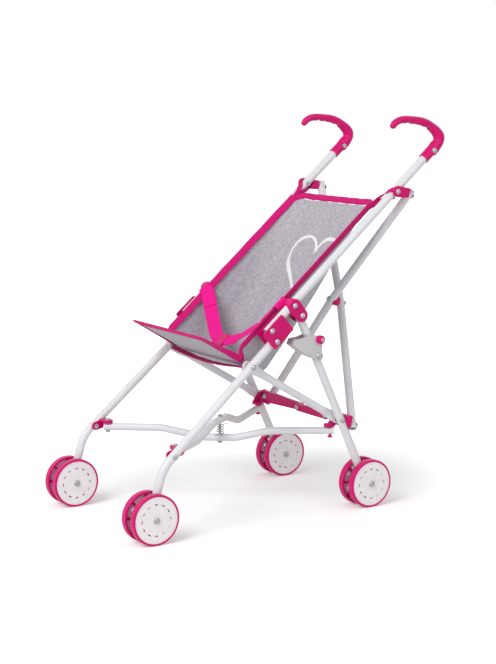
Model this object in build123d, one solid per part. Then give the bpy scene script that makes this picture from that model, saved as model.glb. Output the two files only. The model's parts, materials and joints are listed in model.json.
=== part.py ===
from build123d import *
import os
from math import atan2, cos, degrees, hypot, pi, radians, sin

# A folding doll stroller. Front is -Y, up is +Z, the stroller's left side is +X.
# All sizes in millimetres, angles in degrees.

# Tubes and general sizes
TUBE_D = 12.0
TUBE_WALL = 1.0
BAR_D = 11.0
SIDE_X = 112.0
FIT = 0.06
TOUCH = 0.3
PLAY = 0.4
GUARD = 0.8
BOLT_D = 4.0
CHEEK_T = 2.7

# Wheels
WHEEL_R = 35.0
DISC_W = 10.5
DISC_GAP = 13.0
RIM_T = 3.0
RIM_ROUND = 1.5
SPOKES = 8
SPOKE_T = 2.6
SPOKE_INSET = 1.5
WHEEL_HUB_R = 7.0
CAP_INSET = 0.5
CAP_T = 1.6
CAP_SLOTS = 12
CAP_SLOT_RING_R = 21.5
CAP_SLOT_SIZE = (4.6, 1.8)
CAP_BOSS_R = 6.5
AXLE_D = 5.0
AXLE_CAP_R = 4.5
AXLE_CAP_T = 2.4
AXLE_BLOCK_R = 8.0
AXLE_BLOCK_PLUG = 14.0

# Side frame, seen from the side
FRAME_ANGLE = 40.7
FRONT_AXLE_Y = -232.0
FRONT_SPLAY = 7.0
ANKLE_LENGTH = 68.8
ANKLE_ANGLE = 73.0
ANKLE_BEND_R = 55.0
FRONT_LEG_LENGTH = 237.7
FRONT_LEG_STUB = 9.0
TUBE_PITCH = 17.4
UPPER_SCREW_AT = 4.0
UPPER_TUBE_LENGTH = 381.0
PLATE_AT = 53.5
LEG_PITCH = 19.4
REAR_LEG_ANGLE = 65.2
SIDE_LINK_FRONT_AT = 50.0
SIDE_LINK_REAR_AT = 172.9
FRONT_BRACKET_AT = 217.0
FOLD_ANGLE = 50.0
REAR_FOLD_SHARE = 0.447

# Pink mouldings of the side frame
BLOCK_BELOW = 10.0
BLOCK_ABOVE = 30.5
BLOCK_EDGE = 6.0
BLOCK_CORNER_R = 2.0
BLOCK_WEB_FROM = 8.0
PLATE_HALF = 10.5
PLATE_END_R = 9.5
PLATE_FRONT = 9.0
REAR_LEG_TOP_R = 6.9

# Handle grips: distance along the tube, offset to the front, radius
GRIP_AT = 355.0
GRIP_SOCKET_R = 7.6
GRIP_STATIONS = (
    (20.0, 0.0, 7.6),
    (35.0, 0.6, 8.0),
    (42.5, 8.5, 8.2),
    (41.0, 22.5, 6.9),
    (34.6, 39.0, 6.1),
    (23.5, 53.0, 5.7),
    (11.5, 65.0, 5.4),
    (0.5, 72.0, 5.0),
    (-10.5, 73.0, 4.7),
)
GRIP_SCREW_AT = 373.8
GRIP_NOTCHES = 4
GRIP_NOTCH_R = 6.0
GRIP_NOTCH_DEPTH = 1.2
GRIP_NOTCH_FIRST = (37.5, 36.0)
GRIP_NOTCH_LAST = (16.5, 62.5)
GRIP_NOTCH_SEAT = 6.2
GRIP_NOTCH_SIDE = (-0.72, -0.69)

# Back cross tubes
CROSS_TOP_AT = (303.7, 22.2)
CROSS_TOP_X = 110.0
CROSS_FOOT_AT = (191.5, 16.2)
CROSS_OVERRUN = 7.0
CROSS_SEAT = 1.4
CROSS_FOOT_PLAY = 1.4
CROSS_SCREW_DEPTH = 3.6
CROSS_SPACER = 5.0
CROSS_SPACER_R = 7.5
CROSS_BEND_R = 60.0
TOP_BRACKET_BOLT_AT = 286.2
TOP_BRACKET_R = 8.0
TOP_BRACKET_TONGUE_R = 7.0
TOP_BRACKET_TONGUE_T = 6.0

# Side links
LINK_TONGUE_T = 4.0
LINK_TONGUE_R = 7.0
LINK_FLAT = 17.0
LINK_TAPER = 14.0
LINK_REAR_PLAY = 2.6

# Bottom cross bars and their spring
BAR_FRONT_X = 99.0
BAR_REAR_X = 96.0
BAR_END_Z = 114.0
BAR_LOW_Z = 101.0
BAR_HIGH_Z = 127.0
BAR_WAVE_Z = 112.0
BAR_WAVE_AT = 0.66
BAR_RISE_AT = 0.24
BAR_LEVEL = 0.07
BAR_REAR_Y = 76.0
BAR_FRONT_BACK = 14.0
BAR_OVERRUN = 5.5
BAR_FRONT_PLAY = 1.4
BAR_REAR_SLOT = 6.4
BAR_SLOT_PLAY = 1.1
BAR_BEND_R = 30.0
SPRING_WIRE = 1.3
SPRING_R = 5.2
SPRING_TURNS = 4
SPRING_LEG = 12.0

# Brackets at the feet of the cross bars
BRACKET_TAB_T = 4.0
BRACKET_TAB_R = 7.5
BRACKET_SCREW_DEPTH = 3.0
CLIP_SCREW_DROP = 2.4
FRONT_BRACKET_T = 3.0
FRONT_BRACKET_R = 6.0
REAR_CLIP_T = 3.0
REAR_TAB_BACK = 4.5
REAR_CHEEK_T = 3.0
REAR_CHEEK_R = 6.8
REAR_LUG_T = 8.0
REAR_BRACKET_SWING = 15.0

# Lock strut between the rear legs
STRUT_PIN_X = 83.5
STRUT_PIN_Z = 133.8
STRUT_PIN_D = 4.0
STRUT_T = 5.0
STRUT_RIVET_X = 12.0
STRUT_END = 4.5
STRUT_WIDE = 8.8
STRUT_NARROW = 5.5
STRUT_LUG_R = 6.2
STRUT_ARM_UP = 4.3
STRUT_ARM_W = 3.8
STRUT_ROOT_R = 4.0

# Fold catch on the rear leg
CATCH_BOLT_AT = 65.0
CATCH_KNOB_AT = (44.5, 11.0)
CATCH_KNOB_R = 6.2
CATCH_KNOB_T = 6.0
CATCH_WALL = 2.4
CATCH_TIP = (22.0, -34.0)
CATCH_HEEL = (70.0, -3.0)
CATCH_BULGE = (47.0, -21.5)
CATCH_TOP = (32.0, 2.0)
CATCH_TOP_INNER = (29.5, -12.0)
CATCH_NOSE_R = 7.5
CATCH_NOSE_BULGE = 3.0
CATCH_EAR = (3.0, 3.5)
CATCH_EAR_END = 6.0
CATCH_SOLE = ((0.0, -24.0), (40.0, -19.0), (90.0, 6.0))
CATCH_MOUTH_AT = 33.5
CATCH_MOUTH = (40.0, 60.0)
CATCH_TILT = 6.0

# Seat sling, its hems and straps
HEM_OUT_X = 98.5
HEM_T = 3.0
HEM_W = 10.0
HEM_ACROSS = -5.0
HEM_LOW_AT = -40.0
SEAT_T = 2.4
SEAT_TOP_AT = 258.0
SEAT_SIDE_CREASE = (-72.0, 230.0)
SEAT_CREASE = (-19.0, 193.5)
SEAT_LIP = (-139.0, 267.0)
SEAT_CREASE_R = 30.0
SEAT_WALL_POWER = 8
SEAT_STATIONS = (-1.0, -0.94, -0.82, -0.58, 0.0, 0.58, 0.82, 0.94, 1.0)
STRAP_W = 19.0
STRAP_T = 1.6
STRAP_TOP = (46.0, -8.5)
BUCKLE_AT = (-20.0, 17.0)
BUCKLE_SIZE = (20.0, 24.0, 4.0)
CROTCH_FOOT = (-97.0, 245.0)
TAB_W = 13.0
TAB_BEND_AT = 277.0
TAB_TOP_AT = 294.0
BAND_W = 14.0
BAND_SAG = 14.0


def polar(angle):
    """Unit (Y, Z) pair for an angle above +Y in the side view."""
    return (cos(radians(angle)), sin(radians(angle)))


def shift(point, direction, distance):
    """Side-view point moved along a (Y, Z) direction."""
    return (point[0] + direction[0] * distance, point[1] + direction[1] * distance)


# Key points of the side view, as (Y, Z), from the front axle upwards
UP = polar(FRAME_ANGLE)
BEHIND = polar(FRAME_ANGLE - 90.0)
FRONT_AXLE = (FRONT_AXLE_Y, WHEEL_R)
ANKLE = shift(FRONT_AXLE, polar(ANKLE_ANGLE), ANKLE_LENGTH)
LEG_PIVOT = shift(ANKLE, UP, FRONT_LEG_LENGTH)
TUBE_FOOT = shift(LEG_PIVOT, BEHIND, -TUBE_PITCH)


def upper(along, behind=0.0):
    """Side-view point from the foot of the upper tube."""
    return shift(shift(TUBE_FOOT, UP, along), BEHIND, behind)


REAR_PIVOT = upper(PLATE_AT, LEG_PITCH)
LEG_DOWN = polar(-REAR_LEG_ANGLE)
LEG_BACK = polar(90.0 - REAR_LEG_ANGLE)


def rear(along, behind=0.0):
    """Side-view point from the top pivot of the rear leg."""
    return shift(shift(REAR_PIVOT, LEG_DOWN, along), LEG_BACK, behind)


REAR_LEG_LENGTH = (REAR_PIVOT[1] - WHEEL_R) / -LEG_DOWN[1]
REAR_AXLE = rear(REAR_LEG_LENGTH)
LINK_FRONT = shift(LEG_PIVOT, UP, -SIDE_LINK_FRONT_AT)
LINK_REAR = rear(SIDE_LINK_REAR_AT)
FRONT_CLIP = shift(LEG_PIVOT, UP, -FRONT_BRACKET_AT)
TOP_BOLT = upper(TOP_BRACKET_BOLT_AT)
CROSS_TOP = upper(*CROSS_TOP_AT)
CROSS_FOOT = rear(*CROSS_FOOT_AT)
CROSS_SPAN = hypot(CROSS_FOOT[0] - CROSS_TOP[0], CROSS_FOOT[1] - CROSS_TOP[1])
CROSS_DOWN = ((CROSS_FOOT[0] - CROSS_TOP[0]) / CROSS_SPAN, (CROSS_FOOT[1] - CROSS_TOP[1]) / CROSS_SPAN)
CROSS_BACK = (-CROSS_DOWN[1], CROSS_DOWN[0])
CROSS_MID = shift(CROSS_TOP, CROSS_DOWN, CROSS_SPAN / 2)
FRONT_AXLE_X = SIDE_X + FRONT_SPLAY
BAR_FRONT = (FRONT_CLIP[0] + BAR_FRONT_BACK, BAR_END_Z)
BAR_REAR = (BAR_REAR_Y, BAR_END_Z)
BAR_CROSS_SHARE = BAR_FRONT_X / (BAR_FRONT_X + BAR_REAR_X)
BAR_CROSS_Y = BAR_FRONT[0] + BAR_CROSS_SHARE * (BAR_REAR[0] - BAR_FRONT[0])

HALF = TUBE_D / 2
BOLT_R = BOLT_D / 2
CHEEK_IN = HALF + GUARD
CHEEK_OUT = CHEEK_IN + CHEEK_T
CLIP_OUT = SIDE_X - HALF - LINK_TONGUE_T - 2 * PLAY
CLIP_IN = CLIP_OUT - REAR_CLIP_T
FOOT_OUT = CLIP_IN - PLAY
FOOT_IN = FOOT_OUT - REAR_CHEEK_T
TAB_LOW = BAR_END_Z + BAR_D / 2 + PLAY
HEM_IN_X = HEM_OUT_X - HEM_T
SEAT_HALF = HEM_IN_X - TOUCH
FRAME = Plane(origin=(SIDE_X, *TUBE_FOOT), x_dir=(0, *UP), z_dir=(1, 0, 0))
REAR_FRAME = Plane(origin=(SIDE_X, *REAR_PIVOT), x_dir=(0, *LEG_DOWN), z_dir=(1, 0, 0))
BASE = (Align.CENTER, Align.CENTER, Align.MIN)


def place(point, x=SIDE_X):
    """Side-view point as a vector at one X."""
    return Vector(x, point[0], point[1])


def leg_x(point):
    """X of the splayed front leg at a side-view point on it."""
    run = hypot(LEG_PIVOT[0] - point[0], LEG_PIVOT[1] - point[1])
    return SIDE_X + FRONT_SPLAY * run / FRONT_LEG_LENGTH


def rod(start, end, radius):
    """Plain round bar between two points."""
    axis = end - start
    return Plane(origin=start, z_dir=axis) * Cylinder(radius, axis.length, align=BASE)


def cross_hole(point, radius, reach=60.0):
    """Round cutter along X through a side-view point."""
    return rod(place(point, SIDE_X - reach), place(point, SIDE_X + reach), radius)


def back_hole(point, x, radius, reach=30.0):
    """Round cutter along the back plane's normal."""
    return rod(place(shift(point, CROSS_BACK, -reach), x), place(shift(point, CROSS_BACK, reach), x), radius)


def swung(shape, point, angle):
    """Shape turned about the X direction through a side-view point."""
    return shape.rotate(Axis(place(point), (1, 0, 0)), angle)


def bolt(nut_end, head_end, d=BOLT_D, rise=0.6, nut=True):
    """Bolt with a domed head at one end and, if wanted, a round nut at the other."""
    axis = head_end - nut_end
    length = axis.length
    head_h = rise * d
    foot = [(0, -head_h), (0.85 * d, -head_h), (0.85 * d, 0), (d / 2, 0)] if nut else [(0, 0), (d / 2, 0)]
    outline = Polyline(
        *foot,
        (d / 2, length),
        (d, length),
        (d, length + 0.3 * head_h),
        (0.6 * d, length + head_h),
        (0, length + head_h),
        close=True,
    )
    profile = make_face(Plane.XZ * outline)
    return Plane(origin=nut_end, z_dir=axis) * revolve(profile, Axis.Z)


def pipe(points, d, wall=TUBE_WALL, bend=None):
    """Tube along straight runs joined by one bend radius."""
    path = Line(*points) if len(points) == 2 else FilletPolyline(*points, radius=bend)
    start = Plane(origin=points[0], z_dir=points[1] - points[0])
    return sweep(start * (Circle(d / 2) - Circle(d / 2 - wall)), path=path)


def lengthened(points, extra):
    """Route with both ends drawn out along their own runs."""
    first = points[0] + (points[0] - points[1]).normalized() * extra
    last = points[-1] + (points[-1] - points[-2]).normalized() * extra
    return [first, *points[1:-1], last]


def slab(plane, outline, low, high):
    """Face of a plane thickened between two offsets along its normal."""
    return plane.offset(low) * extrude(outline, high - low)


def capsule(a, b, ra, rb):
    """Flat outline round two circles."""
    return make_hull([*(Pos(*a) * Circle(ra)).edges(), *(Pos(*b) * Circle(rb)).edges()])


# Side frame pieces, all for the left side


def main_tube():
    tube = pipe([place(upper(0)), place(upper(UPPER_TUBE_LENGTH))], TUBE_D)
    for at in (UPPER_SCREW_AT, PLATE_AT, TOP_BRACKET_BOLT_AT, GRIP_SCREW_AT):
        tube -= cross_hole(upper(at), BOLT_R + FIT)
    return tube


def front_leg_route():
    top = shift(LEG_PIVOT, UP, FRONT_LEG_STUB)
    stub_x = SIDE_X - FRONT_SPLAY * FRONT_LEG_STUB / FRONT_LEG_LENGTH
    return [place(top, stub_x), place(ANKLE, FRONT_AXLE_X), place(FRONT_AXLE, FRONT_AXLE_X)]


def front_leg():
    route = front_leg_route()
    tip = route[2] + (route[1] - route[2]).normalized() * AXLE_BLOCK_R
    tube = pipe([route[0], route[1], tip], TUBE_D, bend=ANKLE_BEND_R)
    for point in (LEG_PIVOT, LINK_FRONT, FRONT_CLIP):
        tube -= cross_hole(point, BOLT_R + FIT)
    return tube


def axle_block(axle, toward, x):
    """Moulded foot of a leg: a barrel that holds the axle, with a plug up the tube."""
    centre = place(axle, x)
    half = DISC_GAP / 2 - PLAY
    barrel = rod(centre - Vector(half, 0, 0), centre + Vector(half, 0, 0), AXLE_BLOCK_R)
    direction = (toward - centre).normalized()
    plug = rod(centre, centre + direction * (AXLE_BLOCK_R + AXLE_BLOCK_PLUG), HALF - TUBE_WALL - FIT)
    bore = rod(centre - Vector(half + 1, 0, 0), centre + Vector(half + 1, 0, 0), AXLE_D / 2 + FIT)
    return barrel + plug - bore


def rear_leg():
    """Straight tube; its top is rounded about the pivot so that it can swing in the hinge plate."""
    foot = rear(REAR_LEG_LENGTH - AXLE_BLOCK_R)
    tube = pipe([place(rear(-TUBE_D)), place(foot)], TUBE_D)
    crown = REAR_FRAME * Box(4 * TUBE_D, 2 * TUBE_D, 2 * TUBE_D, align=(Align.MAX, Align.CENTER, Align.CENTER))
    tube -= crown - cross_hole(REAR_PIVOT, REAR_LEG_TOP_R)
    for point in (REAR_PIVOT, rear(CATCH_BOLT_AT), LINK_REAR):
        tube -= cross_hole(point, BOLT_R + FIT)
    return tube


def clamp_block():
    """H-shaped moulding: the upper tube in one slot, the front leg's top in the other."""
    length = BLOCK_BELOW + BLOCK_ABOVE
    width = BLOCK_EDGE + TUBE_PITCH + HALF
    middle = ((BLOCK_ABOVE - BLOCK_BELOW) / 2, BLOCK_EDGE - width / 2)
    face = Pos(*middle) * RectangleRounded(length, width, BLOCK_CORNER_R)
    block = slab(FRAME, face, -CHEEK_OUT, CHEEK_OUT)
    groove = Pos(0, BLOCK_EDGE) * Rectangle(4 * length, 2 * BLOCK_EDGE)
    block -= slab(FRAME, groove, -HALF - FIT, HALF + FIT)
    block -= rod(place(upper(-length)), place(upper(length)), HALF + FIT)
    web_back = TUBE_PITCH - HALF - GUARD
    slot = Pos(0, -web_back - width) * Rectangle(4 * length, 2 * width)
    block -= slab(FRAME, slot, -CHEEK_IN, CHEEK_IN)
    below = Pos(BLOCK_WEB_FROM - length, 0) * Rectangle(2 * length, 4 * width)
    block -= slab(FRAME, below, -CHEEK_IN, CHEEK_IN)
    block -= cross_hole(upper(UPPER_SCREW_AT), BOLT_R + FIT)
    return block - cross_hole(LEG_PIVOT, BOLT_R + FIT)


def hinge_plate():
    """Saddle on the upper tube with two cheeks that carry the rear leg's top."""
    cheek = capsule((PLATE_AT, -LEG_PITCH), (PLATE_AT, PLATE_FRONT - PLATE_HALF), PLATE_END_R, PLATE_HALF)
    plate = slab(FRAME, cheek, -CHEEK_OUT, CHEEK_OUT)
    plate = fillet(plate.edges().filter_by(GeomType.CIRCLE).group_by(Axis((0, 0, 0), (0, *BEHIND)))[0], 2.0)
    plate -= rod(place(upper(0)), place(upper(2 * PLATE_AT)), HALF + FIT)
    web_back = LEG_PITCH - HALF - 2 * GUARD
    slot = Pos(PLATE_AT, -web_back - LEG_PITCH) * Rectangle(4 * PLATE_HALF, 2 * LEG_PITCH)
    plate -= slab(FRAME, slot, -CHEEK_IN, CHEEK_IN)
    plate -= cross_hole(upper(PLATE_AT), BOLT_R + FIT)
    return plate - cross_hole(REAR_PIVOT, BOLT_R + FIT)


def handle_grip():
    """Hooked grip: a socket on the tube, then a tapering bow with finger notches."""
    axis = FRAME.offset(0)
    socket = rod(place(upper(GRIP_AT)), place(upper(GRIP_AT + GRIP_STATIONS[0][0])), GRIP_SOCKET_R)
    centres = [axis.from_local_coords((GRIP_AT + a, b, 0)) for a, b, _ in GRIP_STATIONS]
    sections = []
    for i, centre in enumerate(centres):
        before = centres[max(i - 1, 0)]
        after = centres[min(i + 1, len(centres) - 1)]
        direction = FRAME.x_dir if i == 0 else after - before
        sections.append(Plane(origin=centre, x_dir=(1, 0, 0), z_dir=direction) * Circle(GRIP_STATIONS[i][2]))
    bow = loft(sections)
    tip = Pos(*centres[-1]) * Sphere(GRIP_STATIONS[-1][2])
    grip = socket + bow + tip
    for i in range(GRIP_NOTCHES):
        share = i / (GRIP_NOTCHES - 1)
        a = GRIP_NOTCH_FIRST[0] + share * (GRIP_NOTCH_LAST[0] - GRIP_NOTCH_FIRST[0])
        b = GRIP_NOTCH_FIRST[1] + share * (GRIP_NOTCH_LAST[1] - GRIP_NOTCH_FIRST[1])
        reach = GRIP_NOTCH_SEAT + GRIP_NOTCH_R - GRIP_NOTCH_DEPTH
        centre = upper(GRIP_AT + a + GRIP_NOTCH_SIDE[0] * reach, -(b + GRIP_NOTCH_SIDE[1] * reach))
        grip -= cross_hole(centre, GRIP_NOTCH_R, reach=20.0)
    tube_room = UPPER_TUBE_LENGTH + PLAY
    grip -= rod(place(upper(GRIP_AT - 1)), place(upper(tube_room)), HALF + FIT)
    return grip - cross_hole(upper(GRIP_SCREW_AT), BOLT_R + FIT)


def frame_bolts():
    """Fasteners that stay with the upper tube."""
    out = SIDE_X + CHEEK_OUT
    inn = SIDE_X - CHEEK_OUT
    bolts = [bolt(place(p, inn), place(p, out)) for p in (
        upper(UPPER_SCREW_AT), upper(PLATE_AT), LEG_PIVOT, REAR_PIVOT)]
    bolts.append(bolt(place(TOP_BOLT, SIDE_X - HALF), place(TOP_BOLT, out)))
    grip = upper(GRIP_SCREW_AT)
    bolts.append(bolt(place(grip, SIDE_X - GRIP_SOCKET_R), place(grip, SIDE_X + GRIP_SOCKET_R)))
    return bolts


def leg_bolts():
    """Fasteners that stay with the front leg: the side link's and the clip's."""
    link_x = leg_x(LINK_FRONT)
    inner = SIDE_X - HALF - PLAY - LINK_TONGUE_T - PLAY
    clip_x = leg_x(FRONT_CLIP)
    clip_inner = clip_x - HALF - GUARD - FRONT_BRACKET_T - PLAY / 2
    return [
        bolt(place(LINK_FRONT, inner), place(LINK_FRONT, link_x + HALF + PLAY)),
        bolt(place(FRONT_CLIP, clip_inner), place(FRONT_CLIP, clip_x + HALF + PLAY), rise=0.3),
    ]


def top_bracket():
    """Outer cheek on the upper tube and a tongue behind it that the cross tube is bolted to."""
    tongue = shift(CROSS_TOP, CROSS_BACK, -(HALF + CROSS_SEAT + TOP_BRACKET_TONGUE_T / 2))
    local = FRAME.to_local_coords(place(tongue))
    outline = capsule((TOP_BRACKET_BOLT_AT, 0), (local.X, local.Y), TOP_BRACKET_R, TOP_BRACKET_TONGUE_R)
    bracket = slab(FRAME, outline, -HALF, CHEEK_OUT)
    channel_back = HALF + 2 * GUARD
    room = 10 * TUBE_D
    channel = Pos(TOP_BRACKET_BOLT_AT, room / 2 - channel_back) * Rectangle(room, room)
    bracket -= slab(FRAME, channel, -CHEEK_OUT, CHEEK_IN)
    bracket -= seat_cut(CROSS_TOP)
    bracket -= cross_hole(TOP_BOLT, BOLT_R + FIT)
    return bracket - back_hole(CROSS_TOP, CROSS_TOP_X, BOLT_R + FIT)


def seat_cut(point):
    """Block that leaves a flat seat in front of a cross tube."""
    seat = place(shift(point, CROSS_BACK, -(HALF + CROSS_SEAT)))
    return Plane(origin=seat, x_dir=(1, 0, 0), z_dir=(0, *CROSS_BACK)) * Box(80, 90, 40, align=BASE)


def cross_screw(point, x, depth):
    """Screw from behind through a cross tube into a bracket."""
    tip = shift(point, CROSS_BACK, -(HALF + CROSS_SEAT + depth))
    head = shift(point, CROSS_BACK, HALF + PLAY)
    return bolt(place(tip, x), place(head, x), nut=False)


# Back cross tubes


def cross_tube(top_x, side):
    """One tube of the back cross; side is -1 for the front tube and +1 for the rear one."""
    offset = side * (TUBE_D + CROSS_SPACER) / 2
    middle = shift(CROSS_MID, CROSS_BACK, offset)
    points = [place(CROSS_TOP, top_x), place(middle, 0), place(CROSS_FOOT, -top_x)]
    tube = pipe(lengthened(points, CROSS_OVERRUN), TUBE_D, bend=CROSS_BEND_R)
    tube -= back_hole(CROSS_TOP, top_x, BOLT_R + FIT)
    tube -= back_hole(middle, 0, BOLT_R + FIT)
    return tube - back_hole(CROSS_FOOT, -top_x, BOLT_R + CROSS_FOOT_PLAY)


def cross_spacer():
    """Round spacer at the crossing: a saddle on the front tube, flat towards the rear one."""
    half = (CROSS_SPACER + TUBE_D) / 2
    front = place(shift(CROSS_MID, CROSS_BACK, -half), 0)
    behind = place(shift(CROSS_MID, CROSS_BACK, CROSS_SPACER / 2 - PLAY), 0)
    spacer = rod(front, behind, CROSS_SPACER_R)
    for end in (place(CROSS_TOP, CROSS_TOP_X), place(CROSS_FOOT, -CROSS_TOP_X)):
        spacer -= rod(front, end, HALF + PLAY)
    spacer -= Pos(*front) * Sphere(HALF + PLAY)
    return spacer - rod(front, behind, BOLT_R + FIT)


def cross_bolt():
    reach = TUBE_D + CROSS_SPACER / 2 + PLAY
    return bolt(place(shift(CROSS_MID, CROSS_BACK, reach), 0), place(shift(CROSS_MID, CROSS_BACK, -reach), 0))


# Side links, brackets and catch


def side_link():
    """Tube flattened to a tongue at each end."""
    x = SIDE_X - HALF - PLAY - LINK_TONGUE_T / 2
    start, end = place(LINK_FRONT, x), place(LINK_REAR, x)
    axis = (end - start).normalized()
    length = (end - start).length
    plane = Plane(origin=start, x_dir=axis, z_dir=(1, 0, 0))
    link = rod(start + axis * (LINK_FLAT + LINK_TAPER), end - axis * (LINK_FLAT + LINK_TAPER), BAR_D / 2)
    for foot, sign in ((0, 1), (length, -1)):
        tongue = capsule((foot, 0), (foot + sign * LINK_FLAT, 0), LINK_TONGUE_R, LINK_TONGUE_R)
        tongue -= Pos(foot + sign * (LINK_FLAT + LINK_TONGUE_R), 0) * Rectangle(2 * LINK_TONGUE_R, 40)
        link += slab(plane, tongue, -LINK_TONGUE_T / 2, LINK_TONGUE_T / 2)
        near = Plane(origin=plane.from_local_coords((foot + sign * LINK_FLAT, 0, 0)), x_dir=(1, 0, 0), z_dir=axis)
        far = near.offset(sign * LINK_TAPER)
        flat = near * RectangleRounded(LINK_TONGUE_T, 2 * LINK_TONGUE_R - 0.2, LINK_TONGUE_T / 2 - 0.2)
        link += loft([flat, far * Circle(BAR_D / 2)])
    link -= cross_hole(LINK_FRONT, BOLT_R + FIT)
    return link - cross_hole(LINK_REAR, BOLT_R + LINK_REAR_PLAY)


def front_bracket():
    """Clip on the inner side of the front leg, with a tab over the cross bar's end."""
    outer = leg_x(FRONT_CLIP) - HALF - GUARD
    inner = outer - FRONT_BRACKET_T
    tab_mid = TAB_LOW + BRACKET_TAB_T / 2
    r = FRONT_BRACKET_R
    corner = (BAR_FRONT[0] + BRACKET_TAB_R - r, TAB_LOW + BRACKET_TAB_T - r)
    clip = Plane.YZ.offset(inner) * extrude(capsule(FRONT_CLIP, corner, r, r), FRONT_BRACKET_T)
    tab = Pos((outer + BAR_FRONT_X) / 2, BAR_FRONT[0]) * Rectangle(outer - BAR_FRONT_X, 2 * BRACKET_TAB_R)
    tab += Pos(BAR_FRONT_X, BAR_FRONT[0]) * Circle(BRACKET_TAB_R)
    clip += Plane.XY.offset(TAB_LOW) * extrude(tab, BRACKET_TAB_T)
    clip -= cross_hole(FRONT_CLIP, BOLT_R + FIT)
    pin = Vector(BAR_FRONT_X, BAR_FRONT[0], tab_mid)
    return clip - rod(pin - Vector(0, 0, BAR_D), pin + Vector(0, 0, BAR_D), BOLT_R + FIT)


def rear_clip():
    """Clip between the side link and the foot bracket, with a tab over the cross bar's rear end."""
    length = BRACKET_TAB_R + REAR_TAB_BACK
    middle = BAR_REAR[0] + (REAR_TAB_BACK - BRACKET_TAB_R) / 2
    strip = Pos(middle, TAB_LOW + BRACKET_TAB_T / 2) * Rectangle(length, BRACKET_TAB_T)
    eye = Pos(*LINK_REAR) * Circle(FRONT_BRACKET_R)
    clip = Plane.YZ.offset(CLIP_IN) * extrude(make_hull([*strip.edges(), *eye.edges()]), REAR_CLIP_T)
    tab_in = BAR_REAR_X - BRACKET_TAB_R
    tab = Pos((CLIP_OUT + tab_in) / 2, middle) * RectangleRounded(CLIP_OUT - tab_in, length, REAR_CLIP_T)
    clip += Plane.XY.offset(TAB_LOW) * extrude(tab, BRACKET_TAB_T)
    clip -= cross_hole(LINK_REAR, BOLT_R + FIT)
    pin = Vector(BAR_REAR_X, *BAR_REAR)
    return clip - rod(pin, Vector(pin.X, pin.Y, TAB_LOW + BRACKET_SCREW_DEPTH + PLAY), BOLT_R + FIT)


def clip_screw():
    """Screw from below through a bar's rear end into the clip's tab."""
    tip = Vector(BAR_REAR_X, BAR_REAR[0], TAB_LOW + BRACKET_SCREW_DEPTH)
    head = Vector(BAR_REAR_X, BAR_REAR[0], BAR_END_Z - BAR_D / 2 - CLIP_SCREW_DROP)
    return bolt(tip, head, nut=False)


def rear_bracket(lug_y):
    """Foot bracket inside the rear leg: a cheek, a lug behind the leg and an ear for the strut."""
    tongue = shift(CROSS_FOOT, CROSS_BACK, -(HALF + CROSS_SEAT + REAR_LUG_T / 2))
    local = REAR_FRAME.to_local_coords(place(tongue))
    root = REAR_FRAME.to_local_coords(place((lug_y, STRUT_PIN_Z + STRUT_ARM_UP)))
    eye = Pos(SIDE_LINK_REAR_AT, 0) * Circle(REAR_CHEEK_R)
    seat = Pos(local.X, local.Y) * Circle(LINK_TONGUE_R)
    crown = Pos(root.X, root.Y) * Circle(STRUT_ROOT_R)
    cheek = make_hull([*eye.edges(), *seat.edges(), *crown.edges()])
    bracket = slab(REAR_FRAME, cheek, FOOT_IN - SIDE_X, FOOT_OUT - SIDE_X)
    lug = capsule((SIDE_LINK_REAR_AT + LINK_TONGUE_R, TUBE_D + PLAY), (local.X, local.Y), HALF, LINK_TONGUE_R)
    bracket += slab(REAR_FRAME, lug, FOOT_IN - SIDE_X, CROSS_TOP_X + BRACKET_TAB_R - SIDE_X)
    leg = rod(place(rear(SIDE_LINK_REAR_AT / 2)), place(rear(REAR_LEG_LENGTH)), HALF + PLAY)
    for step in range(4):
        bracket -= swung(leg, LINK_REAR, -REAR_BRACKET_SWING * step / 3)
    room = Pos(SIDE_LINK_REAR_AT, 0) * Circle(LINK_TONGUE_R + GUARD)
    bracket -= slab(REAR_FRAME, room, FOOT_OUT - SIDE_X, TUBE_D)
    ear = Pos(STRUT_PIN_X, STRUT_PIN_Z) * Circle(STRUT_LUG_R)
    arm_x = (STRUT_PIN_X + FOOT_OUT) / 2
    ear += Pos(arm_x, STRUT_PIN_Z + STRUT_ARM_UP) * Rectangle(FOOT_OUT - STRUT_PIN_X, STRUT_ARM_W)
    bracket += Plane.XZ.offset(-lug_y - STRUT_T / 2) * extrude(ear, STRUT_T)
    bracket -= seat_cut(CROSS_FOOT)
    bracket -= cross_hole(LINK_REAR, BOLT_R + FIT)
    bracket -= back_hole(CROSS_FOOT, CROSS_TOP_X, BOLT_R + FIT, HALF + CROSS_SEAT + CROSS_SCREW_DEPTH + PLAY)
    strut = Vector(STRUT_PIN_X, lug_y, STRUT_PIN_Z)
    return bracket - rod(strut - Vector(0, 20, 0), strut + Vector(0, 20, 0), STRUT_PIN_D / 2 + FIT)


def rear_bolts():
    """Fasteners that stay with the rear leg."""
    catch = rear(CATCH_BOLT_AT)
    return [
        bolt(place(LINK_REAR, FOOT_IN), place(LINK_REAR, SIDE_X + HALF), rise=0.4),
        bolt(place(catch, SIDE_X - CHEEK_OUT), place(catch, SIDE_X + CHEEK_OUT)),
    ]


def foot_screws(strut_y):
    """Fasteners that stay with the foot bracket: the cross tube's screw and the strut's pin."""
    return [
        cross_screw(CROSS_FOOT, CROSS_TOP_X, CROSS_SCREW_DEPTH),
        pin_y(STRUT_PIN_X, strut_y - STRUT_T / 2, strut_y + STRUT_T * 1.5 + PLAY),
    ]


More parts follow.
